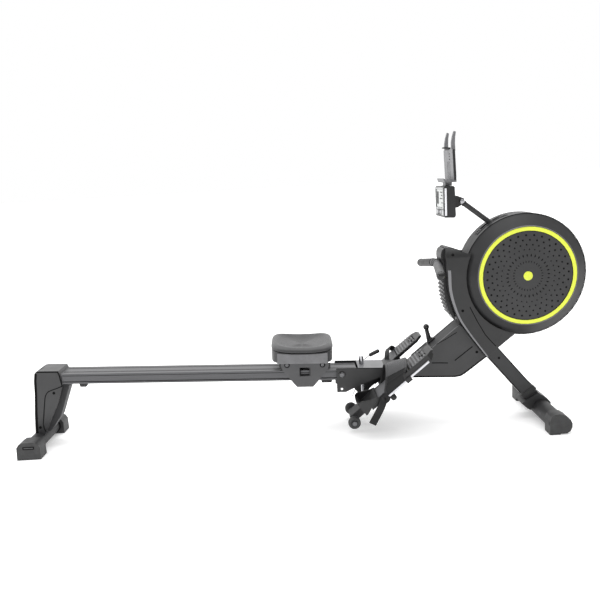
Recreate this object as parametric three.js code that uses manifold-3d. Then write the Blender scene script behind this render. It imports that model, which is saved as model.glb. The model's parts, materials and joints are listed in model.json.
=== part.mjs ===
// Folding rowing machine with an air-resistance wheel. Millimetres, +Z up.
// +X runs from the rear foot to the wheel. In names "near" is the -Y side and "far" the +Y side.
// Lengths below are laid out from X = 0 behind the rear foot; the group is then moved back, so that
// the origin is on the floor under the middle of the machine.
import * as THREE from 'three';
import Module from 'manifold-3d';
import { mergeVertices } from 'three/addons/utils/BufferGeometryUtils.js';

const wasm = await Module();
wasm.setup();

// ---------------------------------------------------------------- driving dimensions
const GAP = 0.3; // between pieces that touch
const REAR_END = 7; // X of the rear foot's back face

// rail: a level extrusion that is then tipped down towards the wheel
const SLOPE = 0.045;
const SLOPE_AT_X = 1000;
const RAIL_TOP = 266.4;
const RAIL_HALF = 53;
const RAIL_HIGH = 41;
const RAIL_START = 104;
const RAIL_FRONT = 1345;

// hinge between the rail and the front beam
const HINGE = { x: 1285, z: 236.4, r: 8 };
const LOCK_HOLE = { x: 1282, z: 175.7, r: 5 };
const CHEEK_IN = 54.5;
const CHEEK_OUT = 59.5;
const LOCK_X = 1368.5;

// diagonal tube: its top line starts at the transport wheels
const DIAG = { x: 1312, z: 53, angle: Math.atan(0.795), half: 42, deep: 30, long: 575 };

// wheel housing
const WHEEL = { x: 2012.6, z: 592.6 };
const RIM_R = 237.5;
const RIM_Y = 56; // half width of the drum's cylindrical wall
const FACE_Y = 92; // half width at the accent ring
const RING_OUT = 188;
const RING_IN = 172;
const WALL = 3;
const SPINE_Y = 72; // half width of the spine covers
const POST_IN = 38; // the two wheel plates
const POST_OUT = 42;
const SPOOL = { x: 1744, z: 620, r: 24 };
const ARM_PIVOT = { x: 1912, z: 783 };
const TILT = { x: 1782, z: 886 }; // console bolt

// feet
const REAR_FOOT = { x: 54, z: 36, r: 30, half: 169.5, cap: 64 };
const FRONT_FOOT = { x: 2084, z: 43, r: 35, half: 228.5, cap: 57 };
const CASTER = { x: 1323.8, z: 42.8, r: 24.6, y: 86, wide: 22 };

// handle
const HANDLE = { x: 1679, z: 651, r: 12, grip: 15.5, back: 22, drop: 21.3, half: 200, bend: 22 };

// pedals
const PEDAL_IN = 63.2;
const PEDAL_OUT = 176;

const ORIGIN_X = (REAR_END + WHEEL.x + RIM_R) / 2;

// ---------------------------------------------------------------- materials
function finish(color, roughness, metalness) {
  return () => new THREE.MeshStandardMaterial({ color, roughness, metalness });
}
const paint = finish(0x2b2c30, 0.45, 0.3);
const plastic = finish(0x26272a, 0.5, 0.05);
const lightPlastic = finish(0x3c3d41, 0.5, 0.05);
const anodised = finish(0x35363a, 0.4, 0.6);
const rubber = finish(0x1b1b1c, 0.85, 0);
const accent = finish(0xe2ee3c, 0.4, 0);
const steel = finish(0xb9bcc0, 0.25, 1);
const webbing = finish(0x1f2022, 0.9, 0);
const padSkin = finish(0x2e2f32, 0.6, 0);
const screen = finish(0xb8c0bc, 0.3, 0);

// ---------------------------------------------------------------- solids and joins
function solid(geometry) {
  const bare = geometry.clone();
  bare.deleteAttribute('normal');
  bare.deleteAttribute('uv');
  const merged = mergeVertices(bare, 1e-3);
  const index = merged.index.array;
  const triangles = [];
  for (let i = 0; i < index.length; i += 3) {
    const [a, b, c] = [index[i], index[i + 1], index[i + 2]];
    if (a !== b && b !== c && c !== a) triangles.push(a, b, c);
  }
  return new wasm.Manifold(new wasm.Mesh({
    numProp: 3,
    vertProperties: new Float32Array(merged.attributes.position.array),
    triVerts: new Uint32Array(triangles),
  }));
}

function join(...geometries) {
  return geometries.map(solid).reduce((a, b) => a.add(b));
}

function cut(body, ...tools) {
  return tools.reduce((a, tool) => a.subtract(solid(tool)), body);
}

function geometryOf(body) {
  const { vertProperties, triVerts } = body.getMesh();
  const geometry = new THREE.BufferGeometry();
  geometry.setAttribute('position', new THREE.BufferAttribute(vertProperties, 3));
  geometry.setIndex(new THREE.BufferAttribute(triVerts, 1));
  geometry.computeVertexNormals();
  return geometry;
}

const machine = new THREE.Group();
machine.position.set(-ORIGIN_X, 0, 0);

function add(name, material, body) {
  const mesh = new THREE.Mesh(geometryOf(body), material());
  mesh.name = name;
  machine.add(mesh);
}

// ---------------------------------------------------------------- geometry helpers
function box(x0, x1, y0, y1, z0, z1) {
  const geometry = new THREE.BoxGeometry(x1 - x0, y1 - y0, z1 - z0);
  return geometry.translate((x0 + x1) / 2, (y0 + y1) / 2, (z0 + z1) / 2);
}

function outline(points) {
  return new THREE.Shape(points.map(([x, z]) => new THREE.Vector2(x, z)));
}

// a flat piece: its outline is in X and Z, and it reaches from y0 to y1
function slab(points, y0, y1) {
  const geometry = new THREE.ExtrudeGeometry(outline(points), {
    depth: y1 - y0, bevelEnabled: false,
  });
  return geometry.rotateX(Math.PI / 2).translate(0, y1, 0);
}

function rodY(x, z, r, y0, y1, segments = 24) {
  return new THREE.CylinderGeometry(r, r, y1 - y0, segments).translate(x, (y0 + y1) / 2, z);
}

// a body turned about an axis along Y; the profile is [radius, y]
function turned(x, z, profile, segments = 24) {
  const points = profile.map(([r, y]) => new THREE.Vector2(r, y));
  return new THREE.LatheGeometry(points, segments).translate(x, 0, z);
}

function rodBetween(a, b, r, segments = 16) {
  const from = new THREE.Vector3(...a);
  const to = new THREE.Vector3(...b);
  const along = to.clone().sub(from);
  const turn = new THREE.Quaternion().setFromUnitVectors(
    new THREE.Vector3(0, 1, 0), along.clone().normalize());
  const middle = from.add(to).multiplyScalar(0.5);
  return new THREE.CylinderGeometry(r, r, along.length(), segments)
    .applyQuaternion(turn).translate(middle.x, middle.y, middle.z);
}

function roundedRect(width, height, radius) {
  const [w, h, r] = [width / 2, height / 2, radius];
  const shape = new THREE.Shape();
  shape.moveTo(-w + r, -h);
  shape.lineTo(w - r, -h);
  shape.absarc(w - r, -h + r, r, -Math.PI / 2, 0);
  shape.lineTo(w, h - r);
  shape.absarc(w - r, h - r, r, 0, Math.PI / 2);
  shape.lineTo(-w + r, h);
  shape.absarc(-w + r, h - r, r, Math.PI / 2, Math.PI);
  shape.lineTo(-w, -h + r);
  shape.absarc(-w + r, -h + r, r, Math.PI, 1.5 * Math.PI);
  return shape;
}

// a rectangular tube with open ends between two points of the XZ plane
function tubeXZ(a, b, width, deep, wall, radius) {
  const shape = roundedRect(width, deep, radius);
  const inner = roundedRect(width - 2 * wall, deep - 2 * wall, Math.max(radius - wall, 1));
  shape.holes.push(inner);
  const along = new THREE.Vector3(b[0] - a[0], 0, b[1] - a[1]);
  const geometry = new THREE.ExtrudeGeometry(shape, {
    depth: along.length(), bevelEnabled: false, curveSegments: 3,
  });
  along.normalize();
  const side = new THREE.Vector3(0, 1, 0);
  const up = along.clone().cross(side);
  geometry.applyMatrix4(new THREE.Matrix4().makeBasis(side, up, along));
  return geometry.translate(a[0], 0, a[1]);
}

function pipeY(x, z, r, wall, y0, y1, segments = 32) {
  return turned(x, z, [[r, y0], [r, y1], [r - wall, y1], [r - wall, y0], [r, y0]], segments);
}

// the same thing on the near and the far side: y runs outwards from the middle
function bothSides(build) {
  build('near', (y0, y1) => [-y1, -y0], -1);
  build('far', (y0, y1) => [y0, y1], 1);
}

// level rail coordinates to the real, tipped ones; t is the height over the rail's top
function tip(geometry) {
  return geometry.translate(-SLOPE_AT_X, 0, -RAIL_TOP).rotateY(SLOPE)
    .translate(SLOPE_AT_X, 0, RAIL_TOP);
}

// the point u along the diagonal's top line and w over it
function onDiag(u, w) {
  const [c, s] = [Math.cos(DIAG.angle), Math.sin(DIAG.angle)];
  return [DIAG.x + u * c - w * s, DIAG.z + u * s + w * c];
}

function diagSlab(points, y0, y1) {
  return slab(points.map(([u, w]) => onDiag(u, w)), y0, y1);
}

// a plate lying along the diagonal: its outline is in u and Y, and it reaches from w0 to w1
function diagPlate(points, w0, w1) {
  const geometry = new THREE.ExtrudeGeometry(outline(points), {
    depth: w1 - w0, bevelEnabled: false,
  });
  const [c, s] = [Math.cos(DIAG.angle), Math.sin(DIAG.angle)];
  geometry.translate(0, 0, w0).applyMatrix4(new THREE.Matrix4().makeBasis(
    new THREE.Vector3(c, 0, s), new THREE.Vector3(0, 1, 0), new THREE.Vector3(-s, 0, c)));
  return geometry.translate(DIAG.x, 0, DIAG.z);
}

// a circle's arc as points of the XZ plane, angles in degrees
function arc(x, z, r, from, to, steps) {
  return Array.from({ length: steps + 1 }, (_, i) => {
    const a = THREE.MathUtils.degToRad(from + ((to - from) * i) / steps);
    return [x + r * Math.cos(a), z + r * Math.sin(a)];
  });
}

// ---------------------------------------------------------------- rail, rear leg and foot
function buildRail() {
  const [h, t] = [RAIL_HALF, RAIL_HIGH];
  const groove = 2.5;
  const half = [[h, 0], [h, -7], [h - groove, -8.5], [h - groove, -33], [h, -34.5], [h, -t]];
  const section = [...half, ...half.map(([y, z]) => [-y, z]).reverse()].reverse();
  const shape = outline(section);
  const hollow = new THREE.Path([
    [-h + 6, -t + 4], [h - 6, -t + 4], [h - 6, -4], [-h + 6, -4],
  ].map(([y, z]) => new THREE.Vector2(y, z)));
  shape.holes = [hollow];
  const geometry = new THREE.ExtrudeGeometry(shape, {
    depth: RAIL_FRONT - RAIL_START, bevelEnabled: false,
  });
  // local x is Y, local y is Z and the length runs along +X
  geometry.applyMatrix4(new THREE.Matrix4().makeBasis(
    new THREE.Vector3(0, 1, 0), new THREE.Vector3(0, 0, 1), new THREE.Vector3(1, 0, 0)));
  geometry.translate(RAIL_START, 0, RAIL_TOP);
  const hinge = rodY(HINGE.x, HINGE.z, HINGE.r + 0.4, -h - 1, h + 1);
  add('rail', anodised, cut(solid(tip(geometry)), hinge));
}

function buildRearLeg() {
  const side = [
    [95, 263], [188, 259], [192, 245], [143, 121], [104, 70], [92, 60], [52, 60], [62, 141],
    [78, 224],
  ];
  const wide = 24;
  const shell = slab(side, -wide, wide);
  const inside = slab([
    [100, 400], [182, 400], [185, 246], [137, 125], [99, 74], [84, 50], [56, 50], [66, 140],
    [82, 224],
  ], -wide + WALL, wide - WALL);
  const foot = rodY(REAR_FOOT.x, REAR_FOOT.z, REAR_FOOT.r + GAP, -60, 60, 40);
  add('rear_leg_tube', paint, cut(solid(shell), inside, foot));

  const skin = [
    [43.5, 59], [74, 44], [83, 57], [152, 189], [176, 259], [172, 302], [166, 317],
    [90, 321], [77.5, 319.2], [70.5, 312], [65, 280], [61, 224], [51, 141],
  ];
  const half = 55;
  const leg = slab([
    [52, 40], [60, 225], [84, 330], [100, 263.6], [300, 263.6], [300, 60], [60, 30],
  ], -wide - GAP, wide + GAP);
  const cavity = slab([
    [47, 20], [47.5, 62], [54.5, 141], [64.5, 224], [69, 262], [200, 262], [200, 20],
  ], -half + WALL, half - WALL);
  const railSpace = tip(box(
    RAIL_START - GAP, 400, -RAIL_HALF - GAP, RAIL_HALF + GAP,
    RAIL_TOP - RAIL_HIGH - GAP, RAIL_TOP + GAP));
  const tube = rodY(REAR_FOOT.x, REAR_FOOT.z, REAR_FOOT.r + 1, -60, 60, 40);
  add('rear_end_cover', plastic, cut(solid(slab(skin, -half, half)), leg, cavity, railSpace, tube));
}

function buildRearFoot() {
  const { x, z, r, half, cap } = REAR_FOOT;
  add('rear_stabilizer_tube', paint, solid(pipeY(x, z, r, 2.5, -half + 8, half - 8, 40)));
  const profile = [
    [7, 0], [100.5, 0], [100.5, 48], [92, 62], [78, 69.5], [30, 69.5], [18, 62], [9, 50],
  ];
  bothSides((side, span) => {
    const body = slab(profile, ...span(half - cap, half));
    const socket = rodY(x, z, r + GAP, ...span(half - cap - 1, half - 7.5), 40);
    add(`rear_foot_cap_${side}`, rubber, cut(solid(body), socket));
  });
}

// ---------------------------------------------------------------- seat
const ROLLER = { r: 23.5, t: 24, front: 1209, rear: 1068.6, low: { x: 1139, t: -54.5, r: 13 } };

function buildSeat() {
  const z = (t) => RAIL_TOP + t;
  const plate = [
    [1044, z(31)], [1234, z(31)], [1234, z(20)], [1227, z(1)], [1172, z(-66)],
    [1107, z(-66)], [1052, z(1)], [1044, z(20)],
  ];
  const axles = [ROLLER.front, ROLLER.rear].map((x) => rodY(x, z(ROLLER.t), 5, -58, 58, 12));
  const { low } = ROLLER;
  const body = join(
    slab(plate, -60.5, -56.5), slab(plate, 56.5, 60.5),
    box(1097, 1180, -60.5, 60.5, z(24), z(48.7)),
    ...axles, rodY(low.x, z(low.t), 4, -58, 58, 12));
  const windows = [-70, 50].map((y) => box(1122, 1157, y, y + 20, z(-19), z(10)));
  const under = box(1090, 1190, -56.5, 56.5, z(20), z(44.7));
  const carriage = cut(body, ...windows, under);
  add('seat_carriage', paint, solid(tip(geometryOf(carriage))));

  // each roller has a wide rim and turns on its axle
  function roller(name, x, t, r, bore, half) {
    const rim = r - 2;
    add(name, rubber, solid(tip(turned(x, z(t), [
      [rim, -half], [r, -half + 2], [r, half - 2], [rim, half], [bore, half], [bore, -half],
      [rim, -half],
    ]))));
  }
  roller('upper_roller_front', ROLLER.front, ROLLER.t, ROLLER.r, 5.4, 45);
  roller('upper_roller_rear', ROLLER.rear, ROLLER.t, ROLLER.r, 5.4, 45);
  roller('lower_roller', low.x, low.t, low.r, 4.4, 40);

  add('seat_base', plastic, solid(tip(box(1036, 1226, -95, 95, z(49), z(57.6)))));
  buildSeatPad(z);
}

// a rounded, dished pad: rings of a superellipse from the bottom to the crown
function buildSeatPad(z) {
  const [cx, halfX, halfY] = [1128, 121, 137];
  const rings = [
    [58, 0.93], [62, 0.97], [84, 1], [96, 0.99], [108, 0.96], [114, 0.9], [115, 0.82], [110, 0.6],
    [106, 0.3],
  ];
  const around = 32;
  const position = [];
  for (const [t, k] of rings) {
    for (let i = 0; i < around; i++) {
      const a = (2 * Math.PI * i) / around;
      const [c, s] = [Math.cos(a), Math.sin(a)];
      const x = cx + halfX * k * Math.sign(c) * Math.abs(c) ** 0.6;
      const y = halfY * k * Math.sign(s) * Math.abs(s) ** 0.6;
      position.push(x, y, z(t));
    }
  }
  position.push(cx, 0, z(rings[0][0]), cx, 0, z(105));
  const index = [];
  const [bottom, top] = [rings.length * around, rings.length * around + 1];
  const last = (rings.length - 1) * around;
  for (let i = 0; i < around; i++) {
    const j = (i + 1) % around;
    index.push(bottom, j, i, top, last + i, last + j);
    for (let k = 0; k < rings.length - 1; k++) {
      const [a, b] = [k * around, (k + 1) * around];
      index.push(a + i, a + j, b + j, a + i, b + j, b + i);
    }
  }
  const geometry = new THREE.BufferGeometry();
  geometry.setAttribute('position', new THREE.Float32BufferAttribute(position, 3));
  geometry.setIndex(index);
  geometry.setAttribute('normal', new THREE.Float32BufferAttribute(position, 3));
  geometry.setAttribute('uv', new THREE.Float32BufferAttribute(position, 3));
  add('seat_pad', padSkin, solid(tip(geometry)));
}

// ---------------------------------------------------------------- front frame
function buildFrontBeam() {
  const cheek = [
    [1263, 262], [1262.5, 164], [1298, 162.5], [1346, 184], [1456, 224.5], [1527, 224.5],
    [1557, 248.4],
  ];
  const cheeks = [slab(cheek, -CHEEK_OUT, -CHEEK_IN), slab(cheek, CHEEK_IN, CHEEK_OUT)];
  const top = slab([
    [1350, 258], [1350, 252], [1541, 243.4], [1549, 241.8], [1556.5, 248.4],
  ], -CHEEK_OUT, CHEEK_OUT);
  const bottom = slab([
    [1456, 224.5], [1456, 229.5], [1532, 229.5], [1526.5, 224.7],
  ], -CHEEK_OUT, CHEEK_OUT);
  const hinge = rodY(HINGE.x, HINGE.z, HINGE.r + GAP, -70, 70);
  const lock = rodY(LOCK_HOLE.x, LOCK_HOLE.z, LOCK_HOLE.r, -70, 70, 16);
  const pin = rodBetween([LOCK_X, 0, 230], [LOCK_X, 0, 300], 5.6, 20);
  add('front_beam', paint, cut(join(...cheeks, top, bottom), hinge, lock, pin));

  // hex-headed bolt with a nut at the far end
  const head = 11;
  add('fold_pivot_bolt', steel, join(
    rodY(HINGE.x, HINGE.z, HINGE.r, -63, 63),
    rodY(HINGE.x, HINGE.z, head, -CHEEK_OUT - GAP - 7, -CHEEK_OUT - GAP, 6),
    rodY(HINGE.x, HINGE.z, head, CHEEK_OUT + GAP, CHEEK_OUT + GAP + 7, 6)));
}

function buildLock() {
  const ring = [[9.5, 0], [9.5, 30.5], [6.6, 30.5], [6.6, 0], [9.5, 0]];
  const collar = turned(0, 0, ring, 28).rotateX(Math.PI / 2).translate(LOCK_X, 0, 258.4);
  const slot = box(LOCK_X, LOCK_X + 20, -3.2, 3.2, 270, 295);
  add('lock_collar', steel, cut(solid(collar), slot));
  const lever = [[LOCK_X, 277], [1384, 277], [1403, 292]];
  add('lock_pin', steel, join(
    rodBetween([LOCK_X, 0, 127], [LOCK_X, 0, 284], 5, 14),
    ...lever.slice(1).map((p, i) => rodBetween(
      [lever[i][0], 0, lever[i][1]], [p[0], 0, p[1]], 2, 8)),
    new THREE.SphereGeometry(2, 8, 6).translate(1384, 0, 277)));
  const grip = rodBetween([1402.5, 0, 291.6], [1438, 0, 307], 6.5, 16);
  const bore = rodBetween([1380, 0, 273.9], [1404, 0, 292.8], 2.3, 10);
  add('lock_grip', rubber, cut(solid(grip), bore));
}

function buildDiagonal() {
  const { half, deep, long } = DIAG;
  const middle = -deep / 2;
  const tube = tubeXZ(onDiag(-4, middle), onDiag(long, middle), 2 * half, deep, 3, 5);
  const axle = rodY(CASTER.x, CASTER.z, 6 + GAP, -60, 60);
  add('diagonal_tube', paint, cut(solid(tube), axle));
  add('caster_axle', steel, join(
    rodY(CASTER.x, CASTER.z, 6, -CASTER.y - 14, CASTER.y + 14),
    rodY(CASTER.x, CASTER.z, 9.5, -CASTER.y - 17, -CASTER.y - 12.5, 12),
    rodY(CASTER.x, CASTER.z, 9.5, CASTER.y + 12.5, CASTER.y + 17, 12)));
  bothSides((side, span) => {
    const [y0, y1] = span(CASTER.y - CASTER.wide / 2, CASTER.y + CASTER.wide / 2);
    const [r, bore] = [CASTER.r, 6.4];
    add(`caster_${side}`, rubber, solid(turned(CASTER.x, CASTER.z, [
      [r - 3, y0], [r, y0 + 3], [r, y1 - 3], [r - 3, y1], [bore, y1], [bore, y0], [r - 3, y0],
    ])));
  });
  // the handle hangs over this post; its base plate is bolted near the tube's far edge
  const [postX, postY, postZ] = [1650.8, 32, 322.3];
  const ball = [postX - 10.4, postY, postZ + 65.4];
  add('handle_hook_post', plastic, cut(join(
    rodBetween([postX + 2, postY, postZ - 12], ball, 8, 16),
    new THREE.SphereGeometry(11.5, 14, 8).translate(...ball),
    diagSlab([[424, 0], [462, 0], [462, 4], [424, 4]], postY - 10, postY + 10)),
  diagSlab([[300, -60], [500, -60], [500, GAP], [300, GAP]], 0, 60)));
}

function buildFrontLeg() {
  const tube = tubeXZ([1850, 333], [2052, 89], 66, 57, 3, 6);
  const { x, z, r } = FRONT_FOOT;
  const saddle = slab([
    [2003, 66], [2026, 44], [2050, 30], [2120, 30], [2120, 66], [2104, 84], [2070, 108],
    [2030, 84],
  ], -46, 46);
  const seat = rodY(x, z, r + GAP, -60, 60, 40);
  const open = box(2040, 2130, -60, 60, 0, 42);
  add('front_leg_tube', paint, cut(join(tube, saddle), seat, open));
  const half = FRONT_FOOT.half;
  add('front_stabilizer_tube', paint, solid(pipeY(x, z, r, 2.5, -half + 8, half - 8, 40)));
  const profile = [
    [2050.5, 0], [2090, 0], [2091, 3.5], [2116, 4], [2128, 12], [2135, 27], [2135, 42],
    [2129, 56], [2118, 68], [2103, 77.5], [2086, 81.5], [2068, 79], [2056, 70], [2050.5, 54],
  ];
  bothSides((side, span) => {
    const body = slab(profile, ...span(half - FRONT_FOOT.cap, half));
    const socket = rodY(x, z, r + GAP, ...span(half - FRONT_FOOT.cap - 1, half - 7.5), 40);
    add(`front_foot_cap_${side}`, rubber, cut(solid(body), socket));
  });
}

// ---------------------------------------------------------------- wheel, post and strap drive
// a flat strut with round ends
function strut(a, b, wide, y0, y1) {
  const along = Math.atan2(b[1] - a[1], b[0] - a[0]);
  const deg = THREE.MathUtils.radToDeg(along);
  const points = [
    ...arc(b[0], b[1], wide, deg - 90, deg + 90, 4), ...arc(a[0], a[1], wide, deg + 90, deg + 270, 4),
  ];
  return slab(points, y0, y1);
}

function buildPost() {
  const foot = [1836, 396];
  const knee = [1765, 470];
  const plates = [];
  for (const [y0, y1] of [[-POST_OUT, -POST_IN], [POST_IN, POST_OUT]]) {
    plates.push(
      strut(foot, [WHEEL.x, WHEEL.z], 24, y0, y1),
      strut([WHEEL.x, WHEEL.z], [ARM_PIVOT.x, ARM_PIVOT.z], 13, y0, y1),
      strut(foot, knee, 20, y0, y1),
      strut(knee, [SPOOL.x, SPOOL.z], 14, y0, y1),
    );
  }
  const ties = [
    slab([
      [1784, 398], [1806, 366], [1829, 318.5], [1873, 354.5], [1862, 420], [1784, 425],
    ], -POST_OUT, POST_OUT),
    rodY(SPOOL.x, SPOOL.z, 5, -POST_OUT, POST_OUT, 16),
    rodY(ARM_PIVOT.x, ARM_PIVOT.z, 5, -POST_OUT, POST_OUT, 16),
    rodY(knee[0], knee[1], 6, -POST_OUT, POST_OUT, 16),
  ];
  const axle = rodY(WHEEL.x, WHEEL.z, 8 + GAP, -60, 60);
  const diag = diagSlab([[0, 0.4], [DIAG.long + 1, 0.4], [DIAG.long + 1, -40], [0, -40]], -50, 50);
  add('wheel_post', paint, cut(join(...plates, ...ties), axle, diag));
  add('wheel_axle', steel, join(
    rodY(WHEEL.x, WHEEL.z, 8, -54, 54),
    rodY(WHEEL.x, WHEEL.z, 13, -POST_OUT - GAP - 7, -POST_OUT - GAP, 6),
    rodY(WHEEL.x, WHEEL.z, 13, POST_OUT + GAP, POST_OUT + GAP + 7, 6)));
}

function buildFan() {
  const { x, z } = WHEEL;
  const parts = [
    turned(x, z, [
      [21, -34], [21, -3], [163, -3], [163, 3], [21, 3], [21, 34], [8.4, 34], [8.4, -34], [21, -34],
    ], 32),
  ];
  const blades = 12;
  for (let i = 0; i < blades; i++) {
    parts.push(new THREE.BoxGeometry(95, 46, 3).translate(108, -7, 0)
      .rotateY((2 * Math.PI * (i + 0.5)) / blades).translate(x, 0, z));
  }
  add('fan_wheel', anodised, join(...parts));
}

function buildSpool() {
  const { x, z, r } = SPOOL;
  add('strap_spool', plastic, join(
    turned(x, z, [
      [28, -17], [28, -14.2], [r, -14.2], [r, 14.2], [28, 14.2], [28, 17], [21, 17], [21, 34],
      [5.4, 34], [5.4, -17], [28, -17],
    ], 20)));

  // flat belt round the two pulleys, both of 21 mm
  const [a, b] = [SPOOL, WHEEL];
  const deg = THREE.MathUtils.radToDeg(Math.atan2(b.z - a.z, b.x - a.x));
  const loop = (radius) => [
    ...arc(b.x, b.z, radius, deg - 90, deg + 90, 8), ...arc(a.x, a.z, radius, deg + 90, deg + 270, 8),
  ];
  add('drive_belt', rubber, cut(solid(slab(loop(24), 24, 31)), slab(loop(21.9), 20, 40)));
}

function buildHandle() {
  const { x, z, r, grip, back, drop, half, bend } = HANDLE;
  const middle = [[x, -bend, z], [x, bend, z]];
  const end = (side) => [x - back, side * (half - 6), z - drop];
  const bar = join(
    rodBetween(...middle, r), rodBetween(middle[0], end(-1), r), rodBetween(middle[1], end(1), r),
    new THREE.SphereGeometry(r, 12, 6).translate(...middle[0]),
    new THREE.SphereGeometry(r, 12, 6).translate(...middle[1]),
    box(x - 2, x + 14.5, -17, 17, z - 13.5, z + 7));
  const strapSlot = box(x + 10, x + 30, -13, 13, 643.9, 647.3);
  add('handle_bar', paint, cut(bar, strapSlot));
  bothSides((side, span, sign) => {
    const start = new THREE.Vector3(...middle[sign < 0 ? 0 : 1]);
    const stop = new THREE.Vector3(...end(sign));
    const along = stop.clone().sub(start).normalize();
    const from = start.clone().addScaledVector(along, 22);
    const to = stop.clone().addScaledVector(along, 5);
    const deep = stop.clone().addScaledVector(along, GAP);
    const sleeve = rodBetween(from.toArray(), to.toArray(), grip, 16);
    const ball = new THREE.SphereGeometry(grip, 16, 8).translate(...to.toArray());
    const bore = rodBetween(start.toArray(), deep.toArray(), r + 1, 16);
    add(`handle_grip_${side}`, rubber, cut(join(sleeve, ball), bore));
  });
  add('pull_strap', webbing, solid(box(x + 10.4, SPOOL.x, -12.5, 12.5, 644.4, 646.8)));
}

// ---------------------------------------------------------------- wheel housing and covers
const SPINE_EDGE = [
  [1709, 719], [1703, 690], [1705, 658], [1709, 611], [1712, 552], [1726, 492], [1750, 431],
  [1792, 365], [1856, 275.5],
];
const SPINE_BACK = [[1902, 311.5], [1990, 380], [2040, 520], [2000, 700], [1790, 688]];

// the space inside the covers where the wheel post and the belt pass into the drum
function drumDoor(y) {
  return slab([
    [WHEEL.x, WHEEL.z], [1700, 720], [1700, 540], [1760, 420], [1850, 300], [1900, 330],
  ], -y, y);
}

function buildHousing() {
  const { x, z } = WHEEL;
  const bevel = RIM_R - 5;
  const outer = [
    [RIM_R, 0.15], [RIM_R, RIM_Y - 6], [bevel, RIM_Y], [RING_OUT + 3, FACE_Y - 2],
    [RING_OUT + GAP, FACE_Y - 2], [RING_OUT + GAP, FACE_Y - 6], [RING_IN, FACE_Y - 6],
  ];
  const inner = [
    [RING_IN, FACE_Y - 9], [RING_OUT + 1, FACE_Y - 9], [bevel - 4, RIM_Y - 2],
    [RIM_R - WALL, RIM_Y - 7], [RIM_R - WALL, 0.15], [RIM_R, 0.15],
  ];
  const profile = [...outer, ...inner];
  const toArm = THREE.MathUtils.radToDeg(Math.atan2(800 - z, 1891 - x));
  const slot = slab([
    ...arc(x, z, 250, toArm - 10, toArm + 10, 4), ...arc(x, z, 222, toArm + 10, toArm - 10, 4),
  ], -12, 12);
  bothSides((side, span, sign) => {
    const shell = turned(x, z, profile, 48);
    if (sign < 0) shell.rotateX(Math.PI).translate(0, 0, 2 * z);
    add(`housing_shell_${side}`, plastic, cut(solid(shell), slot, drumDoor(POST_OUT + 4)));

    const [a, b] = span(FACE_Y - 5.7, FACE_Y);
    add(`accent_ring_${side}`, accent, solid(turned(x, z, [
      [RING_OUT, a], [RING_OUT, b], [RING_IN + 1, b], [RING_IN + 1, a], [RING_OUT, a],
    ], 48)));
    const [c, d] = span(FACE_Y - 5.7, FACE_Y - 1.5);
    const crown = (y) => [0, y + 2 * sign];
    add(`vent_disc_${side}`, lightPlastic, solid(turned(x, z, [
      crown(c), [RING_IN + 0.7, c], [RING_IN + 0.7, d], crown(d),
    ], 48)));
  });
}

function smooth(points, steps) {
  const curve = new THREE.SplineCurve(points.map(([x, z]) => new THREE.Vector2(x, z)));
  return curve.getPoints(steps).map((p) => [p.x, p.y]);
}

function buildSpine() {
  const edge = smooth(SPINE_EDGE, 22);
  const skin = [...edge, ...SPINE_BACK];
  const inside = [
    ...edge.map(([x, z], i) => [x + WALL, i === 0 ? z - 2 * WALL : z + (z < 300 ? 2 * WALL : 0)]),
    [1900, 318], [2200, 400], [2200, 681],
  ];
  // the covers' rims follow the drum's wall and then close in over its slanted side
  const drum = turned(WHEEL.x, WHEEL.z, [
    [0, -100], [RIM_R - 6, -100], [RIM_R - 6, -RIM_Y - 2.5], [RIM_R + 0.8, -RIM_Y - 2.5],
    [RIM_R + 0.8, RIM_Y + 2.5], [RIM_R - 6, RIM_Y + 2.5], [RIM_R - 6, 100], [0, 100],
  ], 48);
  const front = slab([
    [1650, 712], [1708.5, 712], [1713, 611], [1716, 552], [1730, 493], [1755, 430], [1740, 421],
    [1650, 421],
  ], -45, 45);
  const legHole = tubeXZ([1850, 333], [2052, 89], 68, 59, 29, 1);
  const legSpace = slab([
    [1841, 293], [1880, 243], [1930, 290], [1890, 340],
  ], -33.5, 33.5);
  const diag = diagSlab([[0, 2], [600, 2], [600, -34], [0, -34]], -DIAG.half - 1, DIAG.half + 1);
  // the covers' top corners are rounded over to their sides
  const shoulder = (sign, wall) => slab([
    [20, 722], [30, 719], [48, 713], [60, 703], [68, 690], [72.5, 672], [82, 672], [82, 745],
    [20, 745],
  ].map(([y, z]) => [sign * (y - 0.8 * wall), z - wall]), -1830, -1690).rotateZ(Math.PI / 2);
  bothSides((side, span, sign) => {
    const shell = slab(skin, ...span(0.15, SPINE_Y));
    const space = solid(slab(inside, ...span(-1, SPINE_Y - WALL)));
    const hollow = geometryOf(cut(space, shoulder(sign, WALL)));
    add(`spine_cover_${side}`, plastic, cut(
      solid(shell), shoulder(sign, 0), hollow, drum, front, legHole, legSpace, diag));
  });
}

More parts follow.
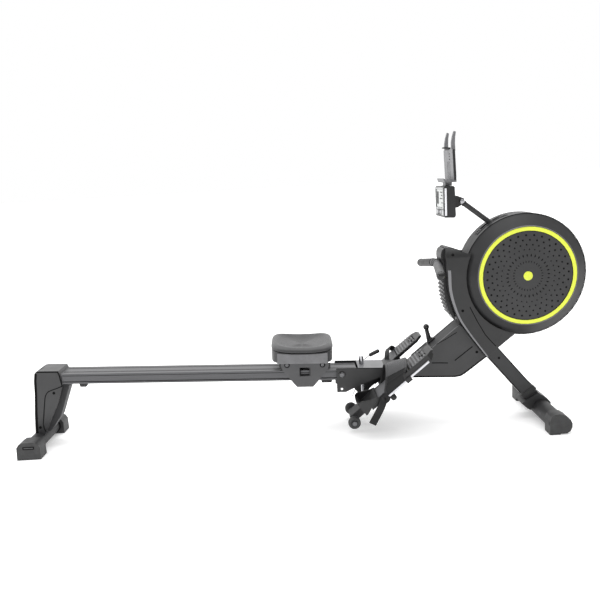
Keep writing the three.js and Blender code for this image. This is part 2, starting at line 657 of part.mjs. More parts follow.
function buildLowerCovers() {
  const edge = smooth(SPINE_EDGE.slice(5), 8).map(([x, z]) => [x - 0.8, z - 0.8]);
  const fit = edge.filter(([, z]) => z < 409 && z > 279);
  const skin = [
    [1559, 204], [1735, 194.5], [1758, 198], [1775, 207], [1864, 272], [1864, 284],
    ...[...fit].reverse(), onDiag(568, 0), onDiag(316, 0),
  ];
  const [outerY, wall] = [51, 2.6];
  const inside = [
    [1540, 208], [1735, 198.5], [1756, 202], [1772, 210.5], [1846, 270], [1840, 290], [1770, 396],
    [1700, 420], [1540, 300],
  ];
  const leg = tubeXZ([1800, 393], [2052, 89], 68, 59, 29, 1);
  bothSides((side, span) => {
    const shell = slab(skin, ...span(0.15, outerY));
    const hollow = slab(inside, ...span(-1, outerY - wall));
    const spine = slab([...smooth(SPINE_EDGE, 22), ...SPINE_BACK]
      .map(([x, z]) => [x - GAP, z - GAP]), ...span(-1, 80));
    add(`lower_cover_${side}`, plastic, cut(solid(shell), hollow, leg, spine,
      diagSlab([[0, 0.4], [700, 0.4], [700, -30.4], [0, -30.4]], -42.4, 42.4)));
  });
}

function buildGrille() {
  const face = smooth([
    [1704, 711], [1695, 704], [1690, 686], [1692, 664], [1697, 650], [1697, 636], [1696, 618],
    [1697, 585], [1702, 521], [1712, 478], [1724, 449], [1739, 424],
  ], 26);
  const back = [[1743, 429], [1726, 486], [1711.5, 548], [1708.6, 611], [1705, 650], [1707.6, 700]];
  const skin = slab([...face, ...back], -44, 44);
  const inside = slab([...face.map(([x, z], i) => [
    x + 3, z + (i === 0 ? -4 : 0) + (i === face.length - 1 ? 5 : 0),
  ]), [1760, 430], [1760, 700]], -41, 41);
  const strap = box(1660, 1730, -15, 15, 641.5, 649.8);
  const hollow = cut(solid(skin), inside, strap);
  // horizontal louvres down the lower face
  const slots = [];
  for (let i = 0; i < 9; i++) {
    slots.push(box(1660, 1760, -34, 34, 470 + i * 15, 475 + i * 15));
  }
  add('spine_grille', plastic, cut(hollow, ...slots));
}

// ---------------------------------------------------------------- console
function buildConsole() {
  const root = [ARM_PIVOT.x, 0, ARM_PIVOT.z];
  const knuckleAt = [TILT.x, 0, TILT.z];
  const eye = rodY(ARM_PIVOT.x, ARM_PIVOT.z, 12, -11, 11, 20);
  const knuckle = rodY(TILT.x, TILT.z, 11, -9, 9, 20);
  add('console_arm', paint, cut(
    join(rodBetween(root, knuckleAt, 10, 20), eye, knuckle),
    rodY(ARM_PIVOT.x, ARM_PIVOT.z, 5.4, -20, 20, 16), rodY(TILT.x, TILT.z, 4.4, -20, 20, 16)));

  const side = [
    [1702, 831.5], [1738, 829.5], [1743.5, 836], [1741, 944], [1736, 948.5], [1703, 948],
    [1698, 942], [1699.5, 837],
  ];
  const [wide, depth] = [78.5, 5];
  const ears = [[1740, 909], [1763, 909], [1791, 897], [1793, 880], [1766, 864], [1741, 862]];
  const body = join(
    slab(side, -wide, wide),
    slab(ears, -15.6, -11.3), slab(ears, 11.3, 15.6), box(1739, 1756, -15.6, 15.6, 864, 907),
    rodY(TILT.x, TILT.z, 4, -20, 20, 16),
    rodY(TILT.x, TILT.z, 8, -19, -14.5, 20), rodY(TILT.x, TILT.z, 8, 14.5, 19, 20));
  const window = box(1680, 1698 + depth, -62, 62, 868, 937);
  const keys = [-24, 24].map((y) => box(1680, 1698 + depth + 3, y - 12.4, y + 12.4, 844.6, 857.4));
  add('console_case', plastic, cut(body, window, ...keys));
  add('console_display', screen, solid(box(1700, 1702.7, -61.7, 61.7, 868.3, 936.7)));
  [['console_key_near', -24], ['console_key_far', 24]].forEach(([name, y]) => {
    add(name, rubber, solid(box(1695.5, 1703, y - 12, y + 12, 845, 857)));
  });

  // phone tray on the case: back plate, lower lip and two curved prongs
  const prong = [
    [1735, 1078], [1749, 1078], [1748, 1106], [1749, 1128], [1752, 1147], [1745, 1150],
    [1739, 1130], [1735, 1108],
  ];
  add('phone_tray', plastic, join(
    slab([[1740, 968], [1748, 968], [1744, 1084], [1736, 1084]], -76, 76),
    slab([[1708, 962], [1753, 962], [1753, 970], [1712, 970], [1706, 978], [1702, 976]], -60, 60),
    box(1718, 1743, -24, 24, 948.8, 964),
    slab(prong, -64, -50), slab(prong, 50, 64), box(1737, 1748, -60, 60, 1074, 1084)));
  add('phone_clip', rubber, join(
    slab([[1715, 1090], [1732, 1087.5], [1742, 1084.5], [1742, 1092], [1717, 1095]], -16, 16)));
}

// ---------------------------------------------------------------- pedals
function buildPedals() {
  // one steel plate crosses the diagonal and carries both pedals
  add('pedal_bracket', paint, solid(diagSlab([[165, GAP], [262, GAP], [262, 5], [165, 5]], -150, 150)));
  const step = [
    [104, 5.4], [396, 5.4], [418, 15], [427, 26], [420, 34], [300, 34], [110, 26],
  ];
  const cup = 62;
  bothSides((side, span, sign) => {
    const ribs = [];
    for (let u = 300; u < 400; u += 14) {
      ribs.push(diagSlab([[u, 33], [u + 7, 33], [u + 7, 50], [u, 50]],
        ...span(PEDAL_IN + 12, PEDAL_OUT - 12)));
    }
    const corners = [[PEDAL_IN - 1, 34], [PEDAL_OUT + 1, -34]].map(([y, inwards]) => diagPlate(
      [[396, sign * y], [440, sign * y], [440, sign * (y + inwards)]], 0, 50));
    // the toe half is thin but for a rail under its outer edge
    const underToe = diagSlab([[290, 0], [302, 22], [440, 24], [440, 0]],
      ...span(PEDAL_IN - 1, PEDAL_OUT - 16));
    add(`pedal_${side}`, lightPlastic, cut(
      solid(diagSlab(step, ...span(PEDAL_IN, PEDAL_OUT))), underToe, ...ribs, ...corners));

    const out = [[73, 6], [80, 6], [152, 31], [152, 36], [118, 46], [92, cup], [75, cup]];
    const shell = diagSlab(out, ...span(PEDAL_IN - 4.5, PEDAL_OUT + 4.5));
    const bay = diagSlab([[79, 32.5], [160, 38.3], [160, 90], [79, 90]],
      ...span(PEDAL_IN - 0.5, PEDAL_OUT + 0.5));
    const under = diagSlab([[79, -10], [170, -10], [170, 30.6], [100, 26.2], [79, 26]],
      ...span(PEDAL_IN - 0.5, PEDAL_OUT + 0.5));
    add(`heel_cup_${side}`, plastic, cut(solid(shell), bay, under));
    buildStrap(side);
  });
}

// a wide band arched over the step, with its ends held against the pedal's two edges; it is
// broadest at the edges and its rear border slants forward
function buildStrap(side) {
  const [inY, outY] = [PEDAL_IN - GAP, PEDAL_OUT + GAP];
  const [thick, base, shoulder, ridge] = [2.4, 6, 36, 88];
  const middle = (inY + outY) / 2;
  const path = (grow) => [
    [inY - grow, base],
    ...Array.from({ length: 13 }, (_, i) => {
      const a = (Math.PI * i) / 12;
      const reach = (outY - inY) / 2 + grow;
      return [middle - reach * Math.cos(a), shoulder + (ridge - shoulder + grow) * Math.sin(a)];
    }),
    [outY + grow, base],
  ];
  const [from, to] = [168, 284];
  const section = [...path(thick), ...path(0).reverse()];
  const arch = new THREE.ExtrudeGeometry(outline(section), {
    depth: to - from, bevelEnabled: false,
  });
  const [c, s] = [Math.cos(DIAG.angle), Math.sin(DIAG.angle)];
  arch.applyMatrix4(new THREE.Matrix4().makeBasis(
    new THREE.Vector3(0, 1, 0), new THREE.Vector3(-s, 0, c), new THREE.Vector3(c, 0, s)));
  const [ox, oz] = onDiag(from, 0);
  arch.translate(ox, 0, oz);
  const rear = diagSlab([[160, 0], [168, 6], [230, 100], [160, 100]], 50, 190);
  const front = diagSlab([[264, 0], [264, 6], [283, 38], [266, 95], [290, 100], [290, 0]], 50, 190);
  let strap = cut(solid(arch), rear, front);
  if (side === 'near') strap = strap.mirror([0, 1, 0]);
  add(`foot_strap_${side}`, webbing, strap);
}

buildRail();
buildRearLeg();
buildRearFoot();
buildSeat();
buildFrontBeam();
buildLock();
buildDiagonal();
buildFrontLeg();
buildPost();
buildFan();
buildSpool();
buildHandle();
buildHousing();
buildSpine();
buildLowerCovers();
buildGrille();
buildConsole();
buildPedals();

export default machine;
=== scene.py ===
"""Looks of a folding rowing machine with an air wheel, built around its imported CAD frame.

Metres, +Z up, +X towards the wheel; "near" is the -Y side and "far" the +Y side.
"""
import json
import math

import bmesh
import bpy
from mathutils import Matrix, Vector


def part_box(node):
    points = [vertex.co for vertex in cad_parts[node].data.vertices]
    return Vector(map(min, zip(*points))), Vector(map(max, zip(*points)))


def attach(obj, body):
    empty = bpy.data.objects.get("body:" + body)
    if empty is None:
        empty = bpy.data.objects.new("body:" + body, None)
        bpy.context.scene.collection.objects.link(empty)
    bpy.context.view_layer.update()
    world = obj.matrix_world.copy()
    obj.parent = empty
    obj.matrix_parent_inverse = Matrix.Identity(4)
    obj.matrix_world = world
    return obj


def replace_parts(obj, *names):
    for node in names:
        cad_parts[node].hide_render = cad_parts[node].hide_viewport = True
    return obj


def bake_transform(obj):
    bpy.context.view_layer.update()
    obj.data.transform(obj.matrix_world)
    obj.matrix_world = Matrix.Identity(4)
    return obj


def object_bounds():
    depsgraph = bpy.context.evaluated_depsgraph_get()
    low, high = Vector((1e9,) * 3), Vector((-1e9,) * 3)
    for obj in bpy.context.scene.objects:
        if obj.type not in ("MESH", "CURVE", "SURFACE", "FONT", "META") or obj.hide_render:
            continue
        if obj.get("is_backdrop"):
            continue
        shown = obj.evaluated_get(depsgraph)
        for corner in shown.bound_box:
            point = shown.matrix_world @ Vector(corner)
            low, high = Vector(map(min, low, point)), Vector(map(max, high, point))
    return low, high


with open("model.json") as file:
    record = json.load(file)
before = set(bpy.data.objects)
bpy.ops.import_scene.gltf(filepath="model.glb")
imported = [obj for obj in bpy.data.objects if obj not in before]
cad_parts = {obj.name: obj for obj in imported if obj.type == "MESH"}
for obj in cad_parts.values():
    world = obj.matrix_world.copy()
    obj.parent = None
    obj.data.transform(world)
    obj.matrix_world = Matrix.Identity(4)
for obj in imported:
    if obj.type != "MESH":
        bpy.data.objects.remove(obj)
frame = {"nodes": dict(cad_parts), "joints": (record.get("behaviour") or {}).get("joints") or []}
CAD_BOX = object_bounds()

NODES = frame["nodes"]
SCENE = bpy.context.scene
SIDES = {"near": -1.0, "far": 1.0}


# ---------- places taken from the frame
def joint(name):
    return next(j for j in frame["joints"] if j["name"] == name)


WHEEL = Vector(joint("fan_spin")["pos_m"])
FACE_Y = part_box("accent_ring_far")[1].y
SLOPE = math.atan2(-joint("seat_slide")["axis"][2], -joint("seat_slide")["axis"][0])
DIAG_ANGLE = math.atan2(-joint("heel_slide_near")["axis"][2], -joint("heel_slide_near")["axis"][0])
DIAG_LOW = Vector((0.18345, 0, 0.053))  # where the diagonal's top line starts
RAIL_AT = Vector((-0.12855, 0, 0.2664))  # a point on the middle of the rail's top
REAR_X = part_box("rear_foot_cap_near")[0].x - 0.007  # X of the layout's zero, behind the rear foot


def at(x, y, z):
    """A point laid out in millimetres: X from behind the rear foot, Z from the floor."""
    return Vector((REAR_X + x / 1000, y / 1000, z / 1000))


def sloping(origin, angle, along, y, over):
    """A point given in millimetres along a slope, across it and over it."""
    along, y, over = along / 1000, y / 1000, over / 1000
    c, s = math.cos(angle), math.sin(angle)
    return origin + Vector((along * c - over * s, y, along * s + over * c))


def on_rail(x, y, over):
    """A point given along the sloping rail, where RAIL_AT is at 1000, and over its top face."""
    return sloping(RAIL_AT, SLOPE, x - 1000, y, over)


def on_diag(along, y, over):
    """A point given along the diagonal from its low end, and over its top face."""
    return sloping(DIAG_LOW, DIAG_ANGLE, along, y, over)


# ---------- materials
class Nodes:
    """A small builder for one material's node tree."""

    def __init__(self, name):
        self.material = bpy.data.materials.new(name)
        self.material.use_nodes = True
        self.tree = self.material.node_tree
        self.shader = self.tree.nodes["Principled BSDF"]
        coordinates = self.tree.nodes.new("ShaderNodeTexCoord")
        self.place = coordinates.outputs["Object"]

    def add(self, kind, **values):
        node = self.tree.nodes.new("ShaderNode" + kind)
        for key, value in values.items():
            if key in node.inputs:
                node.inputs[key].default_value = value
            else:
                setattr(node, key, value)
        return node

    def link(self, source, target):
        self.tree.links.new(source, target)

    def stretched(self, scale):
        mapping = self.add("Mapping")
        mapping.inputs["Scale"].default_value = scale
        self.link(self.place, mapping.inputs["Vector"])
        return mapping.outputs["Vector"]

    def noise(self, scale, detail=3.0, roughness=0.55, vector=None):
        node = self.add("TexNoise", Scale=scale, Detail=detail, Roughness=roughness)
        self.link(vector or self.place, node.inputs["Vector"])
        return node.outputs["Fac"]

    def ranged(self, value, low, high, from_low=0.3, from_high=0.7):
        node = self.add("MapRange")
        for name, number in (
            ("From Min", from_low), ("From Max", from_high), ("To Min", low), ("To Max", high),
        ):
            node.inputs[name].default_value = number
        self.link(value, node.inputs["Value"])
        return node.outputs["Result"]

    def mixed(self, value, first, second):
        node = self.add("Mix", data_type="RGBA")
        node.inputs["A"].default_value = (*first, 1)
        node.inputs["B"].default_value = (*second, 1)
        self.link(value, node.inputs["Factor"])
        return node.outputs["Result"]

    def math(self, operation, a, b):
        node = self.add("Math", operation=operation)
        for socket, value in zip(node.inputs, (a, b)):
            if isinstance(value, (int, float)):
                socket.default_value = value
            else:
                self.link(value, socket)
        return node.outputs["Value"]

    def bump(self, height, strength, distance):
        node = self.add("Bump", Strength=strength, Distance=distance)
        self.link(height, node.inputs["Height"])
        self.link(node.outputs["Normal"], self.shader.inputs["Normal"])

    def finish(self, **sockets):
        for name, value in sockets.items():
            self.shader.inputs[name.replace("_", " ")].default_value = value
        return self.material


def shade(grey, tint=(1.0, 1.0, 1.04)):
    return tuple(grey * t for t in tint)


def coated(name, grey, rough, grain=900.0, depth=0.00012, **sockets):
    """Powder coat or moulded plastic: fine grain in the bump, cloudy colour and gloss."""
    n = Nodes(name)
    clouds = n.noise(7.0, 4.0)
    n.link(n.mixed(n.ranged(clouds, 0.0, 1.0), shade(grey * 0.86), shade(grey * 1.14)),
           n.shader.inputs["Base Color"])
    fine = n.noise(grain, 2.0, 0.6)
    smears = n.noise(26.0, 5.0)
    mixed = n.math("ADD", n.math("MULTIPLY", smears, 0.7), n.math("MULTIPLY", fine, 0.3))
    n.link(n.ranged(mixed, rough - 0.05, rough + 0.07), n.shader.inputs["Roughness"])
    n.bump(fine, 0.5, depth)
    return n.finish(**sockets)


def powder(name, grey, rough, **sockets):
    return coated(name, grey, rough, grain=650.0, depth=0.00018, **sockets)


def brushed(name, grey, rough, along, metal=1.0):
    """Drawn or brushed metal with fine lines along X, Y or Z."""
    n = Nodes(name)
    scale = [900.0, 900.0, 900.0]
    scale["XYZ".index(along)] = 9.0
    lines = n.noise(1.0, 3.0, 0.6, n.stretched(scale))
    n.link(n.mixed(n.ranged(lines, 0.0, 1.0), shade(grey * 0.8), shade(grey * 1.2)),
           n.shader.inputs["Base Color"])
    n.link(n.ranged(lines, rough - 0.06, rough + 0.1), n.shader.inputs["Roughness"])
    n.bump(lines, 0.35, 0.00005)
    return n.finish(Metallic=metal)


def rubbery(name, grey, rough=0.62, grain=500.0):
    """Matte rubber with a slightly mottled skin."""
    n = Nodes(name)
    mottle = n.noise(40.0, 6.0, 0.7)
    tint = (1.0, 1.0, 1.02)
    n.link(n.mixed(n.ranged(mottle, 0.0, 1.0), shade(grey * 0.8, tint), shade(grey * 1.25, tint)),
           n.shader.inputs["Base Color"])
    n.link(n.ranged(mottle, rough + 0.08, rough - 0.06), n.shader.inputs["Roughness"])
    n.bump(n.noise(grain, 2.0), 0.5, 0.0002)
    return n.finish()


def leather(name, grey):
    """Fine-grained vinyl: cells from Voronoi edges, duller in the grooves."""
    n = Nodes(name)
    cells = n.add("TexVoronoi", feature="DISTANCE_TO_EDGE", Scale=420.0)
    n.link(n.place, cells.inputs["Vector"])
    grain = n.ranged(cells.outputs["Distance"], 0.0, 1.0, 0.0, 0.25)
    creases = n.noise(30.0, 5.0)
    n.link(n.mixed(n.ranged(creases, 0.0, 1.0), shade(grey * 0.85), shade(grey * 1.2)),
           n.shader.inputs["Base Color"])
    n.link(n.ranged(grain, 0.62, 0.44, 0.0, 1.0), n.shader.inputs["Roughness"])
    height = n.math("ADD", n.math("MULTIPLY", grain, 0.5), n.math("MULTIPLY", creases, 1.2))
    n.bump(height, 0.4, 0.0004)
    return n.finish(Sheen_Weight=0.15, Sheen_Roughness=0.5)


def woven(name, grey, across, along, pitch=0.0011, fuzz=0.25):
    """Webbing: two crossed sets of threads, one row over the next."""
    n = Nodes(name)
    rows = []
    for axis in (across, along):
        wave = n.add("TexWave", wave_type="BANDS", bands_direction=axis, Scale=0.314 / pitch)
        n.link(n.place, wave.inputs["Vector"])
        rows.append(wave.outputs["Fac"])
    threads = n.math("MULTIPLY", rows[0], n.ranged(rows[1], 0.45, 1.0, 0.0, 1.0))
    worn = n.noise(60.0, 4.0)
    n.link(n.mixed(n.math("MULTIPLY", threads, n.ranged(worn, 0.7, 1.0)),
                   shade(grey * 0.55), shade(grey * 1.35)), n.shader.inputs["Base Color"])
    n.bump(threads, 0.7, 0.0004)
    return n.finish(Roughness=0.82, Sheen_Weight=fuzz, Sheen_Roughness=0.45)


def painted(name, colour, rough, **sockets):
    """A smooth coloured moulding with faint flow lines."""
    n = Nodes(name)
    flow = n.noise(12.0, 5.0)
    n.link(n.mixed(n.ranged(flow, 0.0, 1.0), tuple(c * 0.95 for c in colour),
                   tuple(min(1.0, c * 1.03) for c in colour)), n.shader.inputs["Base Color"])
    n.link(n.ranged(flow, rough - 0.04, rough + 0.06), n.shader.inputs["Roughness"])
    n.bump(n.noise(700.0, 2.0), 0.25, 0.00006)
    return n.finish(**sockets)


BLACK = coated("black_plastic", 0.012, 0.40)
GLOSS_BLACK = coated("gloss_black", 0.008, 0.20, grain=1500.0, depth=0.00004)
CHARCOAL = coated("charcoal_plastic", 0.022, 0.47, Specular_IOR_Level=0.36)
COVER = coated("cover_plastic", 0.031, 0.38, grain=1100.0)
SPINE = coated("spine_plastic", 0.016, 0.38, grain=1100.0)
DISC = coated("disc_plastic", 0.028, 0.48, grain=700.0)
# near-black: panel gaps, seams and dark screw heads, and also painted shade in the disc's holes,
# behind the arm's louvres and in the rail's grooves
GAP_AND_SHADE = coated("panel_gap_and_painted_shade", 0.003, 0.65, Specular_IOR_Level=0.1)
PAINT = powder("powder_coat", 0.025, 0.42)
GREY_PAINT = powder("grey_powder_coat", 0.045, 0.36)
CARRIAGE = powder("carriage_powder_coat", 0.078, 0.4)
DULL_PAINT = powder("dull_powder_coat", 0.028, 0.55, Specular_IOR_Level=0.35)
# light grey for the front beam's top face: painted highlight
BEAM_TOP_HIGHLIGHT = powder("beam_top_painted_highlight", 0.17, 0.4)
LEG_PAINT = powder("leg_powder_coat", 0.06, 0.6, Specular_IOR_Level=0.25)
TRAY_GREY = coated("tray_plastic", 0.17, 0.42)
# near-white for the chamfer between the console's face and sides: painted highlight
CONSOLE_CHAMFER_HIGHLIGHT = coated("console_chamfer_painted_highlight", 0.82, 0.3)
PEDAL_GREY = coated("pedal_plastic", 0.12, 0.5, grain=800.0)
# paler grey for the ring round the disc: painted highlight along its raised edge
RING_EDGE_HIGHLIGHT = coated("ring_edge_painted_highlight", 0.13, 0.42)
STRIP_GREY = coated("strip_plastic", 0.34, 0.34)
# paler grey along the spine covers' rounded edge: painted highlight
SPINE_EDGE_HIGHLIGHT = coated("spine_edge_highlight_plastic", 0.21, 0.36)
RAIL_METAL = brushed("anodised_rail", 0.105, 0.38, "X", metal=0.7)
EDGE_METAL = brushed("bright_edge", 0.62, 0.3, "X", metal=0.9)
CHROME = brushed("chrome", 0.46, 0.16, "Z")
BOLT = brushed("bolt_steel", 0.16, 0.32, "Y")
RUBBER = rubbery("rubber", 0.020)
# the feet's and casters' rubber, also used on the far grip as painted shade
CAP_AND_SHADED_GRIP_GREY = rubbery("foot_cap_rubber_and_shaded_grip", 0.030, rough=0.55)
GRIP_GREY = rubbery("grip_foam", 0.085, rough=0.55, grain=900.0)
WHEEL_GREY = rubbery("caster_tyre", 0.045, rough=0.5)
VINYL = leather("seat_vinyl", 0.036)
# paler vinyl for the painted reflection on the middle of each long side of the seat
SEAT_SIDE_REFLECTION = leather("seat_side_painted_reflection", 0.15)
WEB_X = woven("pull_strap_web", 0.035, "Y", "X")
WEB_BAND = woven("foot_band_web", 0.012, "Y", "X", pitch=0.002, fuzz=0.06)
# paler copy of the band webbing: painted highlight on the near band's top
WEB_TOP_HIGHLIGHT = woven("band_top_painted_highlight_web", 0.075, "Y", "X", pitch=0.002)
STITCH = woven("stitch_thread", 0.05, "Y", "X", pitch=0.0006, fuzz=0.1)
ACCENT = painted("accent_green", (0.80, 0.88, 0.07), 0.34)
SCREEN = painted("display_glass", (0.36, 0.38, 0.37), 0.2, Coat_Weight=0.5, Coat_Roughness=0.08)
BEZEL = painted("console_face", (0.40, 0.41, 0.41), 0.3)

# the record's material slot that a piece made of each material belongs to
SLOTS = {
    "plastic": (BLACK, GLOSS_BLACK, CHARCOAL, COVER, SPINE, GAP_AND_SHADE),
    "light_plastic": (DISC, TRAY_GREY, PEDAL_GREY, RING_EDGE_HIGHLIGHT, STRIP_GREY, SPINE_EDGE_HIGHLIGHT, CONSOLE_CHAMFER_HIGHLIGHT,
                      BEZEL),
    "paint": (PAINT, GREY_PAINT, CARRIAGE, DULL_PAINT, BEAM_TOP_HIGHLIGHT, LEG_PAINT),
    "anodised": (RAIL_METAL, EDGE_METAL),
    "steel": (CHROME, BOLT),
    "rubber": (RUBBER, CAP_AND_SHADED_GRIP_GREY, GRIP_GREY, WHEEL_GREY),
    "pad_skin": (VINYL, SEAT_SIDE_REFLECTION),
    "webbing": (WEB_X, WEB_BAND, WEB_TOP_HIGHLIGHT, STITCH),
    "accent": (ACCENT,),
    "screen": (SCREEN,),
}
SLOT_OF = {material.name: name for name, group in SLOTS.items() for material in group}


# ---------- mesh helpers
CORNERS = ((-1, -1), (1, -1), (1, 1), (-1, 1))  # a rectangle's corners, as signs


def assign(obj, material):
    obj.data.materials.clear()
    obj.data.materials.append(material)


def smooth(obj):
    obj.data.polygons.foreach_set("use_smooth", [True] * len(obj.data.polygons))
    obj.data.update()


def add_bevel(obj, width, segments):
    bevel = obj.modifiers.new("edges", "BEVEL")
    bevel.width = width
    bevel.segments = segments
    bevel.limit_method = "ANGLE"
    bevel.angle_limit = math.radians(32.0)
    bevel.use_clamp_overlap = True
    normals = obj.modifiers.new("normals", "WEIGHTED_NORMAL")
    normals.keep_sharp = True


def dress(node, material, bevel, segments=2):
    """A CAD node keeps its mesh; modifiers round its edges and it gets its real finish."""
    obj = NODES[node]
    for name in ("custom_normal", "sharp_face", "sharp_edge"):
        if name in obj.data.attributes:
            obj.data.attributes.remove(obj.data.attributes[name])
    assign(obj, material)
    smooth(obj)
    weld = obj.modifiers.new("weld", "WELD")
    weld.merge_threshold = 0.00002
    flatten = obj.modifiers.new("flatten", "DECIMATE")
    flatten.decimate_type = "DISSOLVE"
    flatten.angle_limit = math.radians(1.0)
    add_bevel(obj, bevel, segments)


def turns(count):
    """Evenly spaced angles once round, in radians."""
    return [2 * math.pi * k / count for k in range(count)]


def rect(a0, a1, b0, b1):
    return [(a0, b0), (a1, b0), (a1, b1), (a0, b1)]


def border(rim, hole):
    """The four flat strips between two rectangles."""
    return [[rim[a], rim[b], hole[b], hole[a]] for a, b in ((0, 1), (1, 2), (2, 3), (3, 0))]


def two_axes(direction):
    """Two unit vectors square to a direction and to each other."""
    ahead = Vector(direction).normalized()
    first = ahead.orthogonal().normalized()
    return first, ahead.cross(first)


def turn_axes(ahead):
    """Axes for a turned shape: on a shape turned about Y, 0 degrees is +X and 90 is +Z."""
    if abs(ahead.y) > 0.999:
        return Vector((1, 0, 0)), Vector((0, 0, 1))
    return two_axes(ahead)


def headings(path):
    """The direction of travel at each point of an open path."""
    last = len(path) - 1
    return [(path[min(i + 1, last)] - path[max(i - 1, 0)]).normalized() for i in range(last + 1)]


def curve_through(points, steps):
    """A smooth line through given points (Catmull-Rom)."""
    points = [Vector(p) for p in points]
    ends = [points[0] * 2 - points[1]] + points + [points[-1] * 2 - points[-2]]
    result = []
    for a, b, c, d in zip(ends, ends[1:], ends[2:], ends[3:]):
        for k in range(steps):
            t = k / steps
            result.append(0.5 * (2 * b + (c - a) * t + (2 * a - 5 * b + 4 * c - d) * t * t
                                 + (3 * b - a - 3 * c + d) * t ** 3))
    return result + [points[-1]]


def spaced(path, count):
    """Evenly spaced points on a path, each with its direction."""
    lengths = [0.0]
    for a, b in zip(path, path[1:]):
        lengths.append(lengths[-1] + (b - a).length)
    for k in range(count):
        reach = lengths[-1] * k / (count - 1)
        i = next(n for n in range(1, len(lengths)) if lengths[n] >= reach - 1e-9)
        t = (reach - lengths[i - 1]) / (lengths[i] - lengths[i - 1])
        yield path[i - 1].lerp(path[i], t), (path[i] - path[i - 1]).normalized()


class Solids:
    """Closed shapes gathered into one piece. Sizes are in millimetres, paths are in metres."""

    def __init__(self):
        self.verts = []
        self.faces = []

    def take(self, verts, faces):
        base = len(self.verts)
        self.verts += [tuple(v) for v in verts]
        self.faces += [tuple(base + i for i in face) for face in faces]
        return self

    def loft(self, rings, ends=True):
        """Skin between rings of points, closed by flat ends or round on itself."""
        count, last = len(rings[0]), len(rings) - 1
        pairs = [(a, a + 1) for a in range(last)] + ([] if ends else [(last, 0)])
        faces = [(a * count + i, a * count + (i + 1) % count, b * count + (i + 1) % count,
                  b * count + i) for a, b in pairs for i in range(count)]
        if ends:
            faces += [tuple(range(count)), tuple(last * count + i for i in range(count))]
        return self.take([p for ring in rings for p in ring], faces)

    def slab(self, points, y0, y1, place=at):
        """A flat piece with its outline in X and Z."""
        return self.loft([[place(x, y, z) for x, z in points] for y in (y0, y1)])

    def plate(self, points, x0, x1, place=at):
        """A flat piece with its outline in Y and Z."""
        return self.loft([[place(x, y, z) for y, z in points] for x in (x0, x1)])

    def column(self, points, z0, z1, place=at):
        """A flat piece with its outline in X and Y."""
        return self.loft([[place(x, y, z) for x, y in points] for z in (z0, z1)])

    def turned(self, centre, axis, profile, steps=48, start=0.0, stop=360.0):
        """A profile of (radius, offset), closed on itself, turned about an axis."""
        ahead = Vector(axis).normalized()
        first, second = turn_axes(ahead)
        whole = stop - start >= 360.0
        rings = []
        for i in range(steps if whole else steps + 1):
            a = math.radians(start + (stop - start) * i / steps)
            out = first * math.cos(a) + second * math.sin(a)
            rings.append([centre + out * (r / 1000) + ahead * (o / 1000) for r, o in profile])
        return self.loft(rings, ends=not whole)

    def tube(self, path, radius, sides=12):
        """A round bar along a path; the radius is one number, or one for each point."""
        radii = radius if isinstance(radius, (list, tuple)) else [radius] * len(path)
        first, second = two_axes(path[1] - path[0])
        rings = []
        for point, r, ahead in zip(path, radii, headings(path)):
            first = (first - ahead * first.dot(ahead)).normalized()
            second = ahead.cross(first)
            rings.append([point + (first * math.cos(a) + second * math.sin(a)) * (r / 1000)
                          for a in turns(sides)])
        return self.loft(rings)

    def ribbon(self, path, across, width, thick):
        """A flat band along a path; across is the direction of its width."""
        rings = []
        for point, ahead in zip(path, headings(path)):
            side = (across - ahead * across.dot(ahead)).normalized()
            up = ahead.cross(side)
            rings.append([point + side * (s * width / 2000) + up * (t * thick / 2000)
                          for s, t in CORNERS])
        return self.loft(rings)

    def line(self, points, y, width=3.6, thick=0.8):
        """A thin line on a face square to Y, its points laid out in X and Z."""
        path = [at(x, y, z) for x, z in points]
        across = Vector((0, 1, 0))
        rings = []
        for point, ahead in zip(path, headings(path)):
            side = ahead.cross(across).normalized()
            rings.append([point + side * (s * width / 2000) + across * (t * thick / 2000)
                          for s, t in CORNERS])
        return self.loft(rings)

    def screw(self, point, outward, radius):
        """A screw head with a dished socket, standing 0.8 mm proud."""
        r = radius
        return self.turned(point, outward, [
            (0.05, -1.0), (0.05, 0.25), (0.45 * r, 0.25), (0.55 * r, 0.7), (0.85 * r, 0.8),
            (r, 0.5), (r, -1.0)], 20)

    def piece(self, name, material, body, bevel=0.0, segments=2):
        """Make the object, let it ride on a body, and give it its finish."""
        mesh = bpy.data.meshes.new(name)
        mesh.from_pydata(self.verts, [], self.faces)
        clean = bmesh.new()
        clean.from_mesh(mesh)
        bmesh.ops.remove_doubles(clean, verts=clean.verts, dist=0.000002)
        bmesh.ops.recalc_face_normals(clean, faces=clean.faces)
        clean.to_mesh(mesh)
        clean.free()
        obj = bpy.data.objects.new(name, mesh)
        SCENE.collection.objects.link(obj)
        assign(obj, material)
        smooth(obj)
        if bevel:
            add_bevel(obj, bevel, segments)
        else:
            mesh.set_sharp_from_angle(angle=math.radians(35.0))
        if body:
            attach(obj, body)
        return obj


# ---------- wheel housing
WHEEL_XZ = (2012.6, 592.6)  # the wheel's middle in the layout
DISC_R, DISC_CROWN = 172.4, 2.0
VENT_CELLS = 64  # round the disc; a ring has a hole in every other one
VENT_RINGS = (  # radius, and a hole's half size along and across it
    (156, 4.2, 4.2), (138, 3.8, 3.8), (120, 3.3, 3.3), (102, 2.8, 2.8), (79, 5.4, 2.5),
    (55, 4.4, 1.7))


